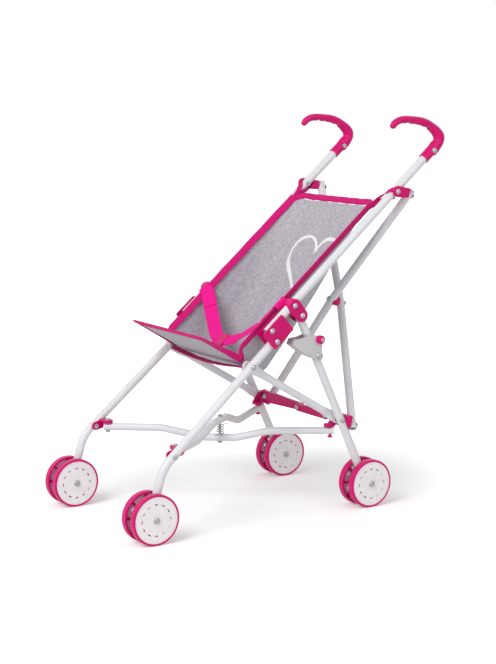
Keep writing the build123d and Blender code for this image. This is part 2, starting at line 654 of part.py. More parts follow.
def fold_room():
    """Room that the clamp block and the front leg take up beside the catch while the frame folds."""
    length = BLOCK_BELOW + BLOCK_ABOVE + 2 * GUARD
    width = BLOCK_EDGE + TUBE_PITCH + HALF + 2 * GUARD
    middle = ((BLOCK_ABOVE - BLOCK_BELOW) / 2, BLOCK_EDGE + GUARD - width / 2)
    block = slab(FRAME, Pos(*middle) * Rectangle(length, width), -2 * CHEEK_OUT, 2 * CHEEK_OUT)
    top = place(shift(LEG_PIVOT, UP, FRONT_LEG_STUB + GUARD))
    leg = rod(top, place(LINK_FRONT), HALF + 3 * GUARD)
    steps = 6
    room = []
    for i in range(1, steps + 1):
        angle = FOLD_ANGLE * i / steps
        turned = [block, swung(leg, LEG_PIVOT, -angle)]
        room += [swung(piece, REAR_PIVOT, angle * REAR_FOLD_SHARE) for piece in turned]
    return room


def fold_catch():
    """Channel on the rear leg with a curved hook in front of it."""
    knob_at, knob_out = CATCH_KNOB_AT
    nose = (CATCH_BOLT_AT, CATCH_NOSE_R)
    ear_low = (knob_at + CATCH_EAR[0], knob_out + CATCH_EAR[1])
    ear_high = (knob_at - CATCH_EAR[0], knob_out + CATCH_EAR[1])
    ear_end = (knob_at - CATCH_EAR_END, knob_out)
    hook = make_face([
        ThreePointArc(CATCH_TIP, CATCH_BULGE, CATCH_HEEL),
        ThreePointArc(CATCH_HEEL, (CATCH_BOLT_AT + CATCH_NOSE_R, CATCH_NOSE_BULGE), nose),
        Line(nose, ear_low),
        ThreePointArc(ear_low, ear_high, ear_end),
        Line(ear_end, CATCH_TOP),
        Line(CATCH_TOP, CATCH_TOP_INNER),
        Line(CATCH_TOP_INNER, CATCH_TIP),
    ])
    channel = slab(REAR_FRAME, hook, -CHEEK_OUT, CHEEK_OUT)
    hollow = offset(hook, -CATCH_WALL) + Pos(CATCH_MOUTH_AT, 0) * Rectangle(*CATCH_MOUTH)
    front, back = CATCH_SOLE[0][0], CATCH_SOLE[-1][0]
    behind = CATCH_MOUTH[1]
    hollow = hollow & make_face(Polyline(*CATCH_SOLE, (back, behind), (front, behind), close=True))
    channel -= slab(REAR_FRAME, hollow, -CHEEK_IN, CHEEK_IN)
    leg = rod(place(rear(0)), place(rear(2 * CATCH_BOLT_AT)), CHEEK_IN)
    for step in range(4):
        channel -= swung(leg, rear(CATCH_BOLT_AT), -CATCH_TILT * step / 3)
    channel -= fold_room()
    channel -= cross_hole(rear(*CATCH_KNOB_AT), BOLT_R + FIT)
    return channel - cross_hole(rear(CATCH_BOLT_AT), BOLT_R + FIT)


def catch_knob():
    low = SIDE_X + CHEEK_OUT
    knob = rod(place(rear(*CATCH_KNOB_AT), low), place(rear(*CATCH_KNOB_AT), low + CATCH_KNOB_T), CATCH_KNOB_R)
    knob = fillet(knob.edges().filter_by(GeomType.CIRCLE).group_by(Axis.X)[-1], 1.5)
    return knob - cross_hole(rear(*CATCH_KNOB_AT), BOLT_R + FIT)


def knob_screw():
    point = rear(*CATCH_KNOB_AT)
    return bolt(place(point, SIDE_X - CHEEK_OUT), place(point, SIDE_X + CHEEK_OUT + CATCH_KNOB_T))


# Bottom cross bars


def bar_point(share, x_sign, z):
    """Point of a bottom bar; share runs from its front end to its rear end."""
    x = x_sign * (BAR_FRONT_X - share * (BAR_FRONT_X + BAR_REAR_X))
    return Vector(x, BAR_FRONT[0] + share * (BAR_REAR[0] - BAR_FRONT[0]), z)


def bottom_bar(x_sign, mid_z, front_play):
    """One bent bar; its rear hole is a slot that lets the end slide as the frame folds."""
    points = [
        bar_point(0, x_sign, BAR_END_Z),
        bar_point(BAR_RISE_AT, x_sign, BAR_END_Z),
        bar_point(BAR_CROSS_SHARE - BAR_LEVEL, x_sign, mid_z),
        bar_point(BAR_CROSS_SHARE + BAR_LEVEL, x_sign, mid_z),
        bar_point(BAR_WAVE_AT + BAR_LEVEL, x_sign, BAR_WAVE_Z),
        bar_point(1, x_sign, BAR_END_Z),
    ]
    bar = pipe(lengthened(points, BAR_OVERRUN), BAR_D, bend=BAR_BEND_R)
    for share, z, play in ((0, BAR_END_Z, front_play), (BAR_CROSS_SHARE, mid_z, FIT)):
        centre = bar_point(share, x_sign, z)
        bar -= rod(centre - Vector(0, 0, BAR_D), centre + Vector(0, 0, BAR_D), BOLT_R + play)
    pin = bar_point(1, x_sign, BAR_END_Z)
    inner = pin + (bar_point(0, x_sign, BAR_END_Z) - pin).normalized() * BAR_REAR_SLOT
    slot = capsule((pin.X, pin.Y), (inner.X, inner.Y), BOLT_R + BAR_SLOT_PLAY, BOLT_R + BAR_SLOT_PLAY)
    return bar - Plane.XY.offset(BAR_END_Z - BAR_D) * extrude(slot, 2 * BAR_D)


def bar_front_bolt():
    """Vertical bolt through a front bracket's tab and a bar's front end."""
    low = Vector(BAR_FRONT_X, BAR_FRONT[0], BAR_END_Z - BAR_D / 2)
    high = Vector(BAR_FRONT_X, BAR_FRONT[0], BAR_END_Z + BAR_D / 2 + PLAY + BRACKET_TAB_T)
    return bolt(low, high)


def bar_bolt():
    low = BAR_LOW_Z - BAR_D / 2
    high = BAR_HIGH_Z + BAR_D / 2
    return bolt(Vector(0, BAR_CROSS_Y, low), Vector(0, BAR_CROSS_Y, high))


def spring_route():
    """Route of the torsion spring: quarter turns that climb evenly, with a straight leg at each end."""
    seat = (BAR_D + SPRING_WIRE) / 2 + TOUCH
    low = BAR_LOW_Z + seat
    high = BAR_HIGH_Z - seat
    steps = 4 * SPRING_TURNS
    points = []
    for i in range(steps + 1):
        angle = 2 * pi * i / 4
        z = low + (high - low) * i / steps
        points.append(Vector(SPRING_R * cos(angle), BAR_CROSS_Y + SPRING_R * sin(angle), z))
    return points


def torsion_spring():
    """One unbroken wire: a helix with a leg at each end."""
    points = spring_route()
    pitch = (points[-1].Z - points[0].Z) / SPRING_TURNS
    coil = Pos(0, BAR_CROSS_Y, points[0].Z) * Helix(pitch, points[-1].Z - points[0].Z, SPRING_R)
    start = coil @ 0
    end = coil @ 1
    low_leg = Line(start - (coil % 0) * SPRING_LEG, start)
    high_leg = Line(end, end + (coil % 1) * SPRING_LEG)
    path = Wire([low_leg.edge(), coil.edge(), high_leg.edge()])
    profile = Plane(origin=low_leg @ 0, z_dir=low_leg % 0) * Circle(SPRING_WIRE / 2)
    gap = pitch - SPRING_WIRE
    print(f"torsion spring: least gap to itself {gap:.2f} mm")
    return sweep(profile, path=path, is_frenet=True)


# Lock strut


def strut_half(pin_x, rivet_x, wide, y):
    """One half of the strut: square at its bracket end, tapering to a round end at the rivet."""
    square = Pos(pin_x, STRUT_PIN_Z) * RectangleRounded(2 * STRUT_END, 2 * wide, 1.5)
    outline = make_hull([*square.edges(), *(Pos(rivet_x, STRUT_PIN_Z) * Circle(STRUT_NARROW)).edges()])
    half = Plane.XZ.offset(-y - STRUT_T / 2) * extrude(outline, STRUT_T)
    for x in (pin_x, rivet_x):
        centre = Vector(x, y, STRUT_PIN_Z)
        half -= rod(centre - Vector(0, 20, 0), centre + Vector(0, 20, 0), STRUT_PIN_D / 2 + FIT)
    return half


def pin_y(x, low, high, nut=True):
    """Pin along Y with its head towards the front."""
    return bolt(Vector(x, high, STRUT_PIN_Z), Vector(x, low, STRUT_PIN_Z), STRUT_PIN_D, nut=nut)


# Wheels


def wheel_disc():
    """One disc of a twin wheel, its outer face towards +X, centred on its own width."""
    ring = Circle(WHEEL_R) - Circle(WHEEL_R - RIM_T)
    disc = slab(Plane.YZ, ring, -DISC_W / 2, DISC_W / 2)
    disc = fillet(disc.edges().filter_by(GeomType.CIRCLE).filter_by(lambda e: e.radius > WHEEL_R - 0.1), RIM_ROUND)
    web_out = DISC_W / 2 - CAP_INSET - CAP_T - FIT
    web_in = -DISC_W / 2 + SPOKE_INSET
    spoke = Pos(WHEEL_R / 2, 0) * Rectangle(WHEEL_R - RIM_T, SPOKE_T)
    for i in range(SPOKES):
        disc += slab(Plane.YZ, Rot(0, 0, 360 * i / SPOKES) * spoke, web_in, web_out)
    disc += slab(Plane.YZ, Circle(WHEEL_HUB_R), -DISC_W / 2, web_out)
    return disc - slab(Plane.YZ, Circle(AXLE_D / 2 + FIT), -DISC_W, DISC_W)


def wheel_cap():
    """Dished cap with a ring of slots, seated against the spokes."""
    radius = WHEEL_R - RIM_T - FIT
    high = DISC_W / 2 - CAP_INSET
    low = high - CAP_T
    cap = slab(Plane.YZ, Circle(radius), low, high)
    cap += slab(Plane.YZ, Circle(CAP_BOSS_R), low, high + CAP_INSET)
    slot = Pos(CAP_SLOT_RING_R, 0) * Rectangle(CAP_SLOT_SIZE[1], CAP_SLOT_SIZE[0])
    for i in range(CAP_SLOTS):
        cap -= slab(Plane.YZ, Rot(0, 0, 360 * i / CAP_SLOTS) * slot, low - 1, high + 1)
    return cap - slab(Plane.YZ, Circle(AXLE_D / 2 + FIT), low - 1, high + 2)


def wheel_axle():
    half = DISC_GAP / 2 + DISC_W
    axle = rod(Vector(-half, 0, 0), Vector(half, 0, 0), AXLE_D / 2)
    for sign in (-1, 1):
        start = Vector(sign * half, 0, 0)
        axle += rod(start, start + Vector(sign * AXLE_CAP_T, 0, 0), AXLE_CAP_R)
    return fillet(axle.edges().filter_by(GeomType.CIRCLE).filter_by(lambda e: abs(e.center().X) > half + 1), 1.4)


def both_sides(piece):
    """The outer and the inner copy of a wheel piece, facing away from each other."""
    step = (DISC_GAP + DISC_W) / 2
    return [Pos(step, 0, 0) * piece, mirror(Pos(step, 0, 0) * piece, about=Plane.YZ)]


# Seat


def seat_profile(x):
    """Side-view points of the sling at one X: top edge, crease, front lip."""
    deep = 1 - (abs(x) / SEAT_HALF) ** SEAT_WALL_POWER
    top = upper(SEAT_TOP_AT, HEM_ACROSS * (1 - deep))
    crease = tuple(e + deep * (c - e) for e, c in zip(SEAT_SIDE_CREASE, SEAT_CREASE))
    return top, crease, SEAT_LIP


def toward(start, end):
    """Unit (Y, Z) direction from one side-view point to another."""
    run = hypot(end[0] - start[0], end[1] - start[1])
    return ((end[0] - start[0]) / run, (end[1] - start[1]) / run)


def seat_section(x, trim, thick):
    """Closed strip of the sling in the plane of one X: two straight runs and the turn at the crease."""
    top, crease, lip = seat_profile(x)
    down = toward(top, crease)
    out = toward(crease, lip)
    turn = atan2(down[0] * out[1] - down[1] * out[0], down[0] * out[0] + down[1] * out[1])
    reach = SEAT_CREASE_R * abs(sin(turn / 2) / cos(turn / 2))
    half = thick / 2
    sides = []
    for offset_by in (-half, half):
        a = (-down[1] * offset_by, down[0] * offset_by)
        b = (-out[1] * offset_by, out[0] * offset_by)
        start = shift(shift(top, down, trim), a, 1)
        bend_in = shift(shift(crease, down, -reach), a, 1)
        bend_out = shift(shift(crease, out, reach), b, 1)
        end = shift(shift(lip, out, -trim), b, 1)
        inward = toward(crease, shift(shift(crease, down, -1), out, 1))
        deep = SEAT_CREASE_R / cos(turn / 2) - SEAT_CREASE_R - offset_by * (1 if turn < 0 else -1)
        middle = shift(crease, inward, deep)
        sides.append((start, bend_in, middle, bend_out, end))
    p, q = sides
    outline = [
        Line(p[0], p[1]),
        ThreePointArc(p[1], p[2], p[3]),
        Line(p[3], p[4]),
        Line(p[4], q[4]),
        Line(q[4], q[3]),
        ThreePointArc(q[3], q[2], q[1]),
        Line(q[1], q[0]),
        Line(q[0], p[0]),
    ]
    return Plane.YZ.offset(x) * make_face(outline)


def hem_section(x, which):
    """Cross-section of the hem at the top edge or at the front lip, in the plane of one X."""
    top, crease, lip = seat_profile(x)
    end = top if which == "top" else lip
    inward = toward(end, crease)
    centre = shift(end, inward, (HEM_W - PLAY) / 2)
    angle = degrees(atan2(inward[1], inward[0]))
    return Plane.YZ.offset(x) * (Pos(*centre) * Rot(0, 0, angle) * Rectangle(HEM_W - PLAY, HEM_T))


def seat_sling():
    """Cloth between the hems: a deep back with steep side walls and a base that rises to the lip."""
    return loft([seat_section(SEAT_HALF * s, HEM_W, SEAT_T) for s in SEAT_STATIONS], ruled=True)


def side_hem():
    """Band beside the upper tube, round the side crease and along the base to the lip's corner."""
    route = Polyline(
        upper(SEAT_TOP_AT + HEM_W / 2, HEM_ACROSS),
        upper(HEM_LOW_AT, HEM_ACROSS),
        SEAT_SIDE_CREASE,
        SEAT_LIP,
    )
    return Plane.YZ.offset(HEM_IN_X) * extrude(trace(route, HEM_W), HEM_T)


def top_tab():
    """Strap from the hem's top corner to the top bolt of the upper tube."""
    nut = BOLT_D * 0.6
    hem_x = (HEM_IN_X + HEM_OUT_X) / 2
    bolt_x = SIDE_X - HALF - nut - TOUCH - STRAP_T / 2
    start = SEAT_TOP_AT + HEM_W / 2 + TOUCH
    route = Polyline((start, hem_x), (TAB_BEND_AT, bolt_x), (TAB_TOP_AT, bolt_x))
    front = upper(0, (HEM_ACROSS - TAB_W) / 2)
    plane = Plane(origin=(0, *front), x_dir=(0, *UP), z_dir=(0, *BEHIND))
    return plane * extrude(trace(route, STRAP_T), TAB_W)


def harness():
    """Two lap straps, a crotch strap and the buckle where they meet."""
    centre = place(upper(*BUCKLE_AT), 0)
    half_x, half_up, half_t = (size / 2 for size in BUCKLE_SIZE)
    flat = Plane(origin=centre, x_dir=(1, 0, 0), z_dir=(0, -BEHIND[0], -BEHIND[1]))
    buckle = flat * Box(*BUCKLE_SIZE)
    buckle = fillet(buckle.edges().filter_by(Axis((0, 0, 0), tuple(flat.z_dir))), 3.0)
    top = place(upper(*STRAP_TOP), HEM_IN_X)
    run = centre - top
    strip = Plane(origin=top - run, x_dir=(0, *UP), z_dir=run) * Rectangle(STRAP_W, STRAP_T)
    room = Pos((half_x + SEAT_HALF) / 2 + TOUCH / 2, centre.Y, centre.Z) * Box(
        SEAT_HALF - half_x - TOUCH, 4 * SEAT_HALF, 4 * SEAT_HALF)
    lap = extrude(strip, 3 * run.length) & room
    foot = place(CROTCH_FOOT, 0)
    front = place(upper(BUCKLE_AT[0] - half_up - TOUCH, BUCKLE_AT[1]), 0)
    crotch = Plane(origin=front, x_dir=(1, 0, 0), z_dir=foot - front) * Rectangle(STRAP_W, STRAP_T)
    crotch = extrude(crotch, (foot - front).length)
    return [lap, mirror(lap, about=Plane.YZ), crotch, buckle]


def seat_band():
    """Support band under the seat, hung between the front bolts of the two side links."""
    end = LINK_FRONT[1] - STRAP_T
    arc = ThreePointArc((-HEM_OUT_X, end), (0, end - BAND_SAG), (HEM_OUT_X, end))
    plane = Plane(origin=(0, LINK_FRONT[0] + BAND_W / 2, 0), x_dir=(1, 0, 0), z_dir=(0, -1, 0))
    return plane * extrude(trace(arc, STRAP_T), BAND_W)


def seat_binding():
    """Hems of the sling, its tabs, the harness and the support band."""
    ends = [loft([hem_section(SEAT_HALF * s, which) for s in SEAT_STATIONS], ruled=True) for which in ("top", "lip")]
    sides = [side_hem(), top_tab()]
    return [*ends, *sides, *(mirror(s, about=Plane.YZ) for s in sides), *harness(), seat_band()]


def save(name, solids):
    """One STEP file for a node; several solids stay separate in one group."""
    shape = solids[0] if len(solids) == 1 else Compound(children=solids)
    export_step(shape, f"parts/{name}.step")


def main():
    os.makedirs("parts", exist_ok=True)
    layer = STRUT_T + PLAY
    strut_y = LINK_REAR[0] + PLAY
    both = {
        "upper_tube": [main_tube()],
        "front_leg": [front_leg()],
        "front_axle_block": [axle_block(FRONT_AXLE, place(ANKLE, FRONT_AXLE_X), FRONT_AXLE_X)],
        "rear_leg": [rear_leg()],
        "rear_axle_block": [axle_block(REAR_AXLE, place(REAR_PIVOT), SIDE_X)],
        "clamp_block": [clamp_block()],
        "hinge_plate": [hinge_plate()],
        "handle_grip": [handle_grip()],
        "frame_bolts": frame_bolts(),
        "top_bracket": [top_bracket(), cross_screw(CROSS_TOP, CROSS_TOP_X, TOP_BRACKET_TONGUE_T)],
        "side_link": [side_link()],
        "front_bracket": [front_bracket()],
        "front_leg_bolts": [*leg_bolts(), Pos(FRONT_AXLE_X, *FRONT_AXLE) * wheel_axle()],
        "rear_leg_bolts": [*rear_bolts(), Pos(SIDE_X, *REAR_AXLE) * wheel_axle()],
        "rear_clip": [rear_clip(), clip_screw()],
        "fold_catch": [fold_catch()],
        "catch_knob": [catch_knob(), knob_screw()],
    }
    for name, group in both.items():
        save(f"left_{name}", group)
        save(f"right_{name}", [mirror(s, about=Plane.YZ) for s in group])
    save("left_rear_bracket", [rear_bracket(strut_y)])
    save("left_foot_screws", foot_screws(strut_y - layer))
    save("right_rear_bracket", [mirror(rear_bracket(strut_y + layer), about=Plane.YZ)])
    save("right_foot_screws", [mirror(s, about=Plane.YZ) for s in foot_screws(strut_y)])

    save("back_cross_front_tube", [cross_tube(CROSS_TOP_X, -1)])
    save("back_cross_rear_tube", [cross_tube(-CROSS_TOP_X, 1)])
    save("cross_spacer", [cross_spacer()])
    save("cross_bolt", [cross_bolt()])

    save("lower_cross_bar", [bottom_bar(-1, BAR_LOW_Z, BAR_FRONT_PLAY)])
    save("upper_cross_bar", [bottom_bar(1, BAR_HIGH_Z, FIT)])
    save("upper_bar_bolts", [bar_front_bolt(), bar_bolt()])
    save("lower_bar_bolt", [mirror(bar_front_bolt(), about=Plane.YZ)])
    save("torsion_spring", [torsion_spring()])

    narrow_y = strut_y - layer
    save("lock_strut_wide", [strut_half(-STRUT_PIN_X, STRUT_RIVET_X, STRUT_WIDE, strut_y)])
    save("lock_strut_narrow", [strut_half(STRUT_PIN_X, STRUT_RIVET_X, STRUT_NARROW, narrow_y)])
    save("strut_rivet", [pin_y(STRUT_RIVET_X, narrow_y - STRUT_T / 2, narrow_y + STRUT_T / 2, nut=False)])

    disc, cap = wheel_disc(), wheel_cap()
    for end, axle_point, x in (("front", FRONT_AXLE, FRONT_AXLE_X), ("rear", REAR_AXLE, SIDE_X)):
        for side, sign in (("left", 1), ("right", -1)):
            spot = Pos(sign * x, *axle_point)
            save(f"{side}_{end}_wheel", [spot * s for s in both_sides(disc)])
            save(f"{side}_{end}_wheel_caps", [spot * s for s in both_sides(cap)])

    save("seat_sling", [seat_sling()])
    save("seat_binding", seat_binding())


main()
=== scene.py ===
import json
import math
import bpy
import numpy as np
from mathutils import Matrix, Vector


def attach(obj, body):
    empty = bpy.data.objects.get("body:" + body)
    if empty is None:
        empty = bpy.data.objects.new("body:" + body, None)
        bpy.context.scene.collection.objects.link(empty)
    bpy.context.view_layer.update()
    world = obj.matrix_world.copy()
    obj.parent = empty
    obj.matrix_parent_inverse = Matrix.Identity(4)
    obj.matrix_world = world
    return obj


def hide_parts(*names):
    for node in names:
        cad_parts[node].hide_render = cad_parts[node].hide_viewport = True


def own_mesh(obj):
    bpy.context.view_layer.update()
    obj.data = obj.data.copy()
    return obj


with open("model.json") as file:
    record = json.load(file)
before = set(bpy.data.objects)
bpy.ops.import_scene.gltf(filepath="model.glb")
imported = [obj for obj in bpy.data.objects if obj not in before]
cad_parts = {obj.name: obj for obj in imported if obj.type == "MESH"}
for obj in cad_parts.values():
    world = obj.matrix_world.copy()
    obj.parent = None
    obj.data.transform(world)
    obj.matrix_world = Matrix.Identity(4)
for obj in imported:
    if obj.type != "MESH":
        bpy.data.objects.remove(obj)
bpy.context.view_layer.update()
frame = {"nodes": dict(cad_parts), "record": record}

# Sizes are in metres. A side-view point is (Y, Z): along runs up the upper tube from its foot,
# and behind runs square to it, towards the back of the stroller.

X_AXIS = np.array([1.0, 0.0, 0.0])
Y_AXIS = np.array([0.0, 1.0, 0.0])
TINY = 1e-9

# Frame
FRAME_TILT = math.radians(40.7)
UP = np.array([math.cos(FRAME_TILT), math.sin(FRAME_TILT)])
BACK = np.array([math.sin(FRAME_TILT), -math.cos(FRAME_TILT)])
TUBE_UP = np.array([0.0, *UP])
TUBE_BACK = np.array([0.0, *BACK])
TUBE_FOOT = np.array([-0.04303, 0.26899])
TUBE_X = 0.112
REAR_TILT = math.radians(65.2)
LEG_DOWN = np.array([math.cos(REAR_TILT), -math.sin(REAR_TILT)])
LEG_BACK = np.array([math.sin(REAR_TILT), math.cos(REAR_TILT)])
LINK_FRONT = np.array([-0.0696, 0.2232])


def upper(along, behind=0.0):
    """Side-view point given from the foot of the upper tube."""
    return TUBE_FOOT + UP * along + BACK * behind


REAR_TOP = upper(0.0535, 0.0194)
KNEE = upper(0.0, 0.0174)


def rear(along, behind=0.0):
    """Side-view point given from the top pivot of the rear leg, down the leg and behind it."""
    return REAR_TOP + LEG_DOWN * along + LEG_BACK * behind


# Seat cloth
SEAT_HALF = 0.0952
SEAT_TOP_AT = 0.258
SEAT_SIDE_CREASE = np.array([-0.072, 0.230])
SEAT_CREASE = np.array([-0.019, 0.1935])
SEAT_LIP = np.array([-0.139, 0.267])
SEAT_WALL_POWER = 8
SEAT_BACK_SHARE = 0.70
SEAT_TUBE_SHARE = 0.62
SEAT_SAG = 0.005
EDGE_PASSES = 12
MIDDLE_PASSES = 150
CLOTH_COLS = 141
CLOTH_ROWS = 221
CLOTH_FROM, CLOTH_TO = 0.012, 0.988
CLOTH_T = 0.0012
CLOTH_UV = "cloth"
CORNER_FROM = 0.84
CORNER_DROP = 0.026
WIDE_FOLD = 0.0011
FINE_FOLD = 0.0006
DRAG_FOLD = 0.0013
DRAG_AT, DRAG_REACH = 0.66, 0.07

# Printed heart
HEART_SCALE = 0.00344
HEART_CENTRE = (0.013, 0.106)
HEART_STROKE = 0.0031
HEART_SWELL = 0.0007
HEART_LIFT = 0.0010

# Hems and their stitches
HEM_X = 0.0970
HEM_W = 0.010
HEM_T = 0.0036
HEM_ACROSS = -0.005
HEM_LOW_AT = -0.040
HEM_WAVE = 0.00025
END_HEM_REACH = 0.995
OUTER_LEAN = math.radians(27)
INNER_LEAN = math.radians(55)
FLAT_LEAN = math.radians(80)
SIDE_HEM_W = 0.0118
SIDE_HEM_T = 0.0018
SIDE_HEM_TOP_AT = SEAT_TOP_AT - 0.008
SIDE_HEM_X = HEM_X + 0.0035
SIDE_HEM_LIFT, SIDE_HEM_LIFT_LIP = 0.0055, 0.0006
STITCH_PITCH = 0.0040
STITCH_L = 0.0028
STITCH_W = 0.0007
STITCH_IN = 0.28
STITCH_SINK = 0.0002

# Straps, tabs, band and buckle; knots are X on the left side, along and behind
STRAP_W = 0.0205
STRAP_T = 0.0016
STRAP_AT = 0.046
STRAP_END = (0.015, 0.052)
STRAP_END_W = STRAP_W * 0.97
STRAP_END_LIFT = STRAP_T * 0.9
BUCKLE_AT = (-0.020, 0.017)
STRAP_KNOTS = [
    (0.1015, STRAP_AT, -0.001), (0.1034, STRAP_AT, -0.006), (0.1030, STRAP_AT, -0.0115),
    (0.1010, STRAP_AT - 0.001, -0.0120), (0.0925, STRAP_AT - 0.004, -0.0055),
    (0.0600, 0.012, 0.010), (0.0300, -0.010, 0.017), (0.0090, *BUCKLE_AT),
]
CROTCH_FOOT = np.array([-0.097, 0.245])
CROTCH_START = upper(BUCKLE_AT[0] - 0.010, BUCKLE_AT[1])
CROTCH_SLACK = np.array([0.0, 0.004])
TAB_W = 0.0070
TAB_FRONT = [
    (0.0968, 0.2440, -0.0052), (0.1012, 0.2630, -0.0058), (0.1066, 0.2725, -0.0062),
    (0.1120, 0.2795, -0.0072), (0.1170, 0.2845, -0.0058),
]
TAB_INSIDE = [
    (0.0968, 0.2440, -0.0045), (0.1015, 0.2620, -0.0010), (0.1042, 0.2720, 0.0030),
    (0.1062, 0.2790, 0.0068), (0.1085, 0.2835, 0.0088),
]
BAND_HALF = 0.0985
BAND_W = 0.014
BAND_SAG = 0.007
BUCKLE_HALF = (0.0100, 0.0120, 0.0022)
BUCKLE_ROUND = 0.35
BUCKLE_GROOVE_DEPTH, BUCKLE_GROOVE_W = 0.35, 0.0022
OVAL_STEPS = 24
OVAL_ROUND = (0.5, 0.6)

# Screw faces on the left side, by the body that carries them: X of the face and its side-view point
SCREW_R = 0.0026
SCREW_RISE = 0.0009
SCREW_SLOT = 0.0005
SCREW_SLOT_DEPTH, SCREW_SLOT_REACH = 0.82, 0.72
SCREW_TURN = (0.8, 0.6)
BOLT_FACE_X = 0.1238
SCREWS = {
    "frame": [(BOLT_FACE_X, upper(along)) for along in (0.0040, 0.0535, 0.2862)]
    + [(BOLT_FACE_X, KNEE), (BOLT_FACE_X, REAR_TOP), (0.1219, upper(0.3738))],
    "front_leg": [(0.1222, KNEE - UP * 0.050), (0.1259, KNEE - UP * 0.217)],
    "rear_leg": [(0.1195, rear(0.1729)), (BOLT_FACE_X, rear(0.065))],
    "catch": [(0.1298, rear(0.0445, 0.011))],
}

# Stage, light and camera
FLOOR_HALF = 6.0
FLOOR_TONE = (0.90, 0.90, 0.90, 1)
WHITE = (1, 1, 1, 1)
GLOW_FROM, GLOW_TO = 0.20, 0.62
GLOW_NEAR, GLOW_FAR = 0.21, 0.80
WORLD_LIGHT = 0.50
LAMP_TARGET = (0, 0, 0.25)
CAMERA_PLACE = (1.9143, -1.2141, 0.6013)
CAMERA_TARGET = (0, -0.003, 0.2515)
SENSOR_MM = 36.0
LENS_MM = 85.54


# Meshes


def add_piece(name, points, faces, corner_uv=None):
    """Smooth-shaded object at the origin from points and faces, with a UV for each face corner if given."""
    mesh = bpy.data.meshes.new(name)
    mesh.from_pydata(points.reshape(-1, 3).tolist(), [], faces)
    if corner_uv is not None:
        layer = mesh.uv_layers.new(name=CLOTH_UV)
        layer.data.foreach_set("uv", corner_uv.astype(np.float32).ravel())
    mesh.polygons.foreach_set("use_smooth", np.ones(len(mesh.polygons), dtype=bool))
    mesh.update()
    piece = bpy.data.objects.new(name, mesh)
    bpy.context.scene.collection.objects.link(piece)
    return piece


def grid_quads(rows, cols, close_rows=False, close_cols=False):
    """Corner numbers of the quads of a rows by columns grid; either direction may close on itself."""
    r = np.arange(rows if close_rows else rows - 1)
    c = np.arange(cols if close_cols else cols - 1)
    i, j = np.meshgrid(r, c, indexing="ij")
    i2, j2 = (i + 1) % rows, (j + 1) % cols
    return np.stack([i * cols + j, i * cols + j2, i2 * cols + j2, i2 * cols + j], axis=-1).reshape(-1, 4)


def grid_piece(name, points, uv=None, close_rows=False, close_cols=False, capped=False):
    """Piece on one grid of points; a capped tube also has one flat face at each end."""
    rows, cols = points.shape[:2]
    quads = grid_quads(rows, cols, close_rows, close_cols)
    faces = quads.tolist()
    if capped:
        faces += [list(range(cols))[::-1], list(range((rows - 1) * cols, rows * cols))]
    return add_piece(name, points, faces, None if uv is None else uv.reshape(-1, 2)[quads])


def many_grids(name, points):
    """Piece of several equal grids: points has one grid of rows by columns for each copy."""
    copies, rows, cols = points.shape[:3]
    first = np.arange(copies) * rows * cols
    quads = grid_quads(rows, cols)[None] + first[:, None, None]
    return add_piece(name, points, quads.reshape(-1, 4).tolist())


def unit(vectors):
    """Each row divided by its length."""
    return vectors / np.linalg.norm(vectors, axis=1, keepdims=True)


def run_length(path):
    """Length of the path up to each of its points."""
    return np.concatenate([[0], np.cumsum(np.linalg.norm(np.diff(path, axis=0), axis=1))])


def follow(at, knots, points):
    """Straight runs through points that are reached at their knots, read at the given values."""
    return np.stack([np.interp(at, knots, points[:, k]) for k in range(points.shape[1])], axis=-1)


def smooth_path(path, passes):
    """Path with its inner points averaged with their neighbours, 1 : 2 : 1, and its ends kept."""
    for _ in range(passes):
        path = np.concatenate([path[:1], (path[:-2] + 2 * path[1:-1] + path[2:]) / 4, path[-1:]])
    return path


def through(points, count, passes):
    """Path of equal steps through some points, its corners rounded by averaging."""
    points = np.asarray(points, float)
    run = run_length(points)
    return smooth_path(follow(np.linspace(0, run[-1], count), run, points), passes)


def on_side(side, knots):
    """Points of one side from knots of X, along and behind."""
    return [(side * x, *upper(along, behind)) for x, along, behind in knots]


def rounded(value, power):
    """The power of a value's size, with the value's sign."""
    return np.sign(value) * np.abs(value) ** power


def band_frame(path, across):
    """Side and face directions of a band along its path: square to the path, side nearest to across."""
    ahead = unit(np.gradient(path, axis=0))
    side = unit(across - (across * ahead).sum(1, keepdims=True) * ahead)
    return side, np.cross(ahead, side)


def ribbon(name, path, across, width, thick):
    """Flat band: a rounded flat oval carried along a path, its wide side along the given direction.

    The oval is a superellipse: cos to the power 0.5 across it, sin to the power 0.6 through it."""
    side, face = band_frame(path, across)
    turn = np.linspace(0, 2 * math.pi, OVAL_STEPS, endpoint=False)
    wide = rounded(np.cos(turn), OVAL_ROUND[0]) * width / 2
    deep = rounded(np.sin(turn), OVAL_ROUND[1]) * thick / 2
    points = path[:, None] + side[:, None] * wide[None, :, None] + face[:, None] * deep[None, :, None]
    return grid_piece(name, points, close_cols=True, capped=True)


# Seat cloth and its print

SHARE = np.linspace(0, 1, 181)
EDGE_KNOTS = np.array([
    upper(SEAT_TOP_AT, HEM_ACROSS), upper(HEM_LOW_AT, HEM_ACROSS), SEAT_SIDE_CREASE, SEAT_LIP])
EDGE_LINE = smooth_path(follow(SHARE, [0, SEAT_TUBE_SHARE, SEAT_BACK_SHARE, 1], EDGE_KNOTS), EDGE_PASSES)
MIDDLE_KNOTS = np.array([upper(SEAT_TOP_AT), SEAT_CREASE, SEAT_LIP])
MIDDLE_LINE = smooth_path(follow(SHARE, [0, SEAT_BACK_SHARE, 1], MIDDLE_KNOTS), MIDDLE_PASSES)
MIDDLE_LINE += np.outer(SEAT_SAG * np.sin(math.pi * np.clip(SHARE / SEAT_BACK_SHARE, 0, 1)) ** 1.5, BACK)


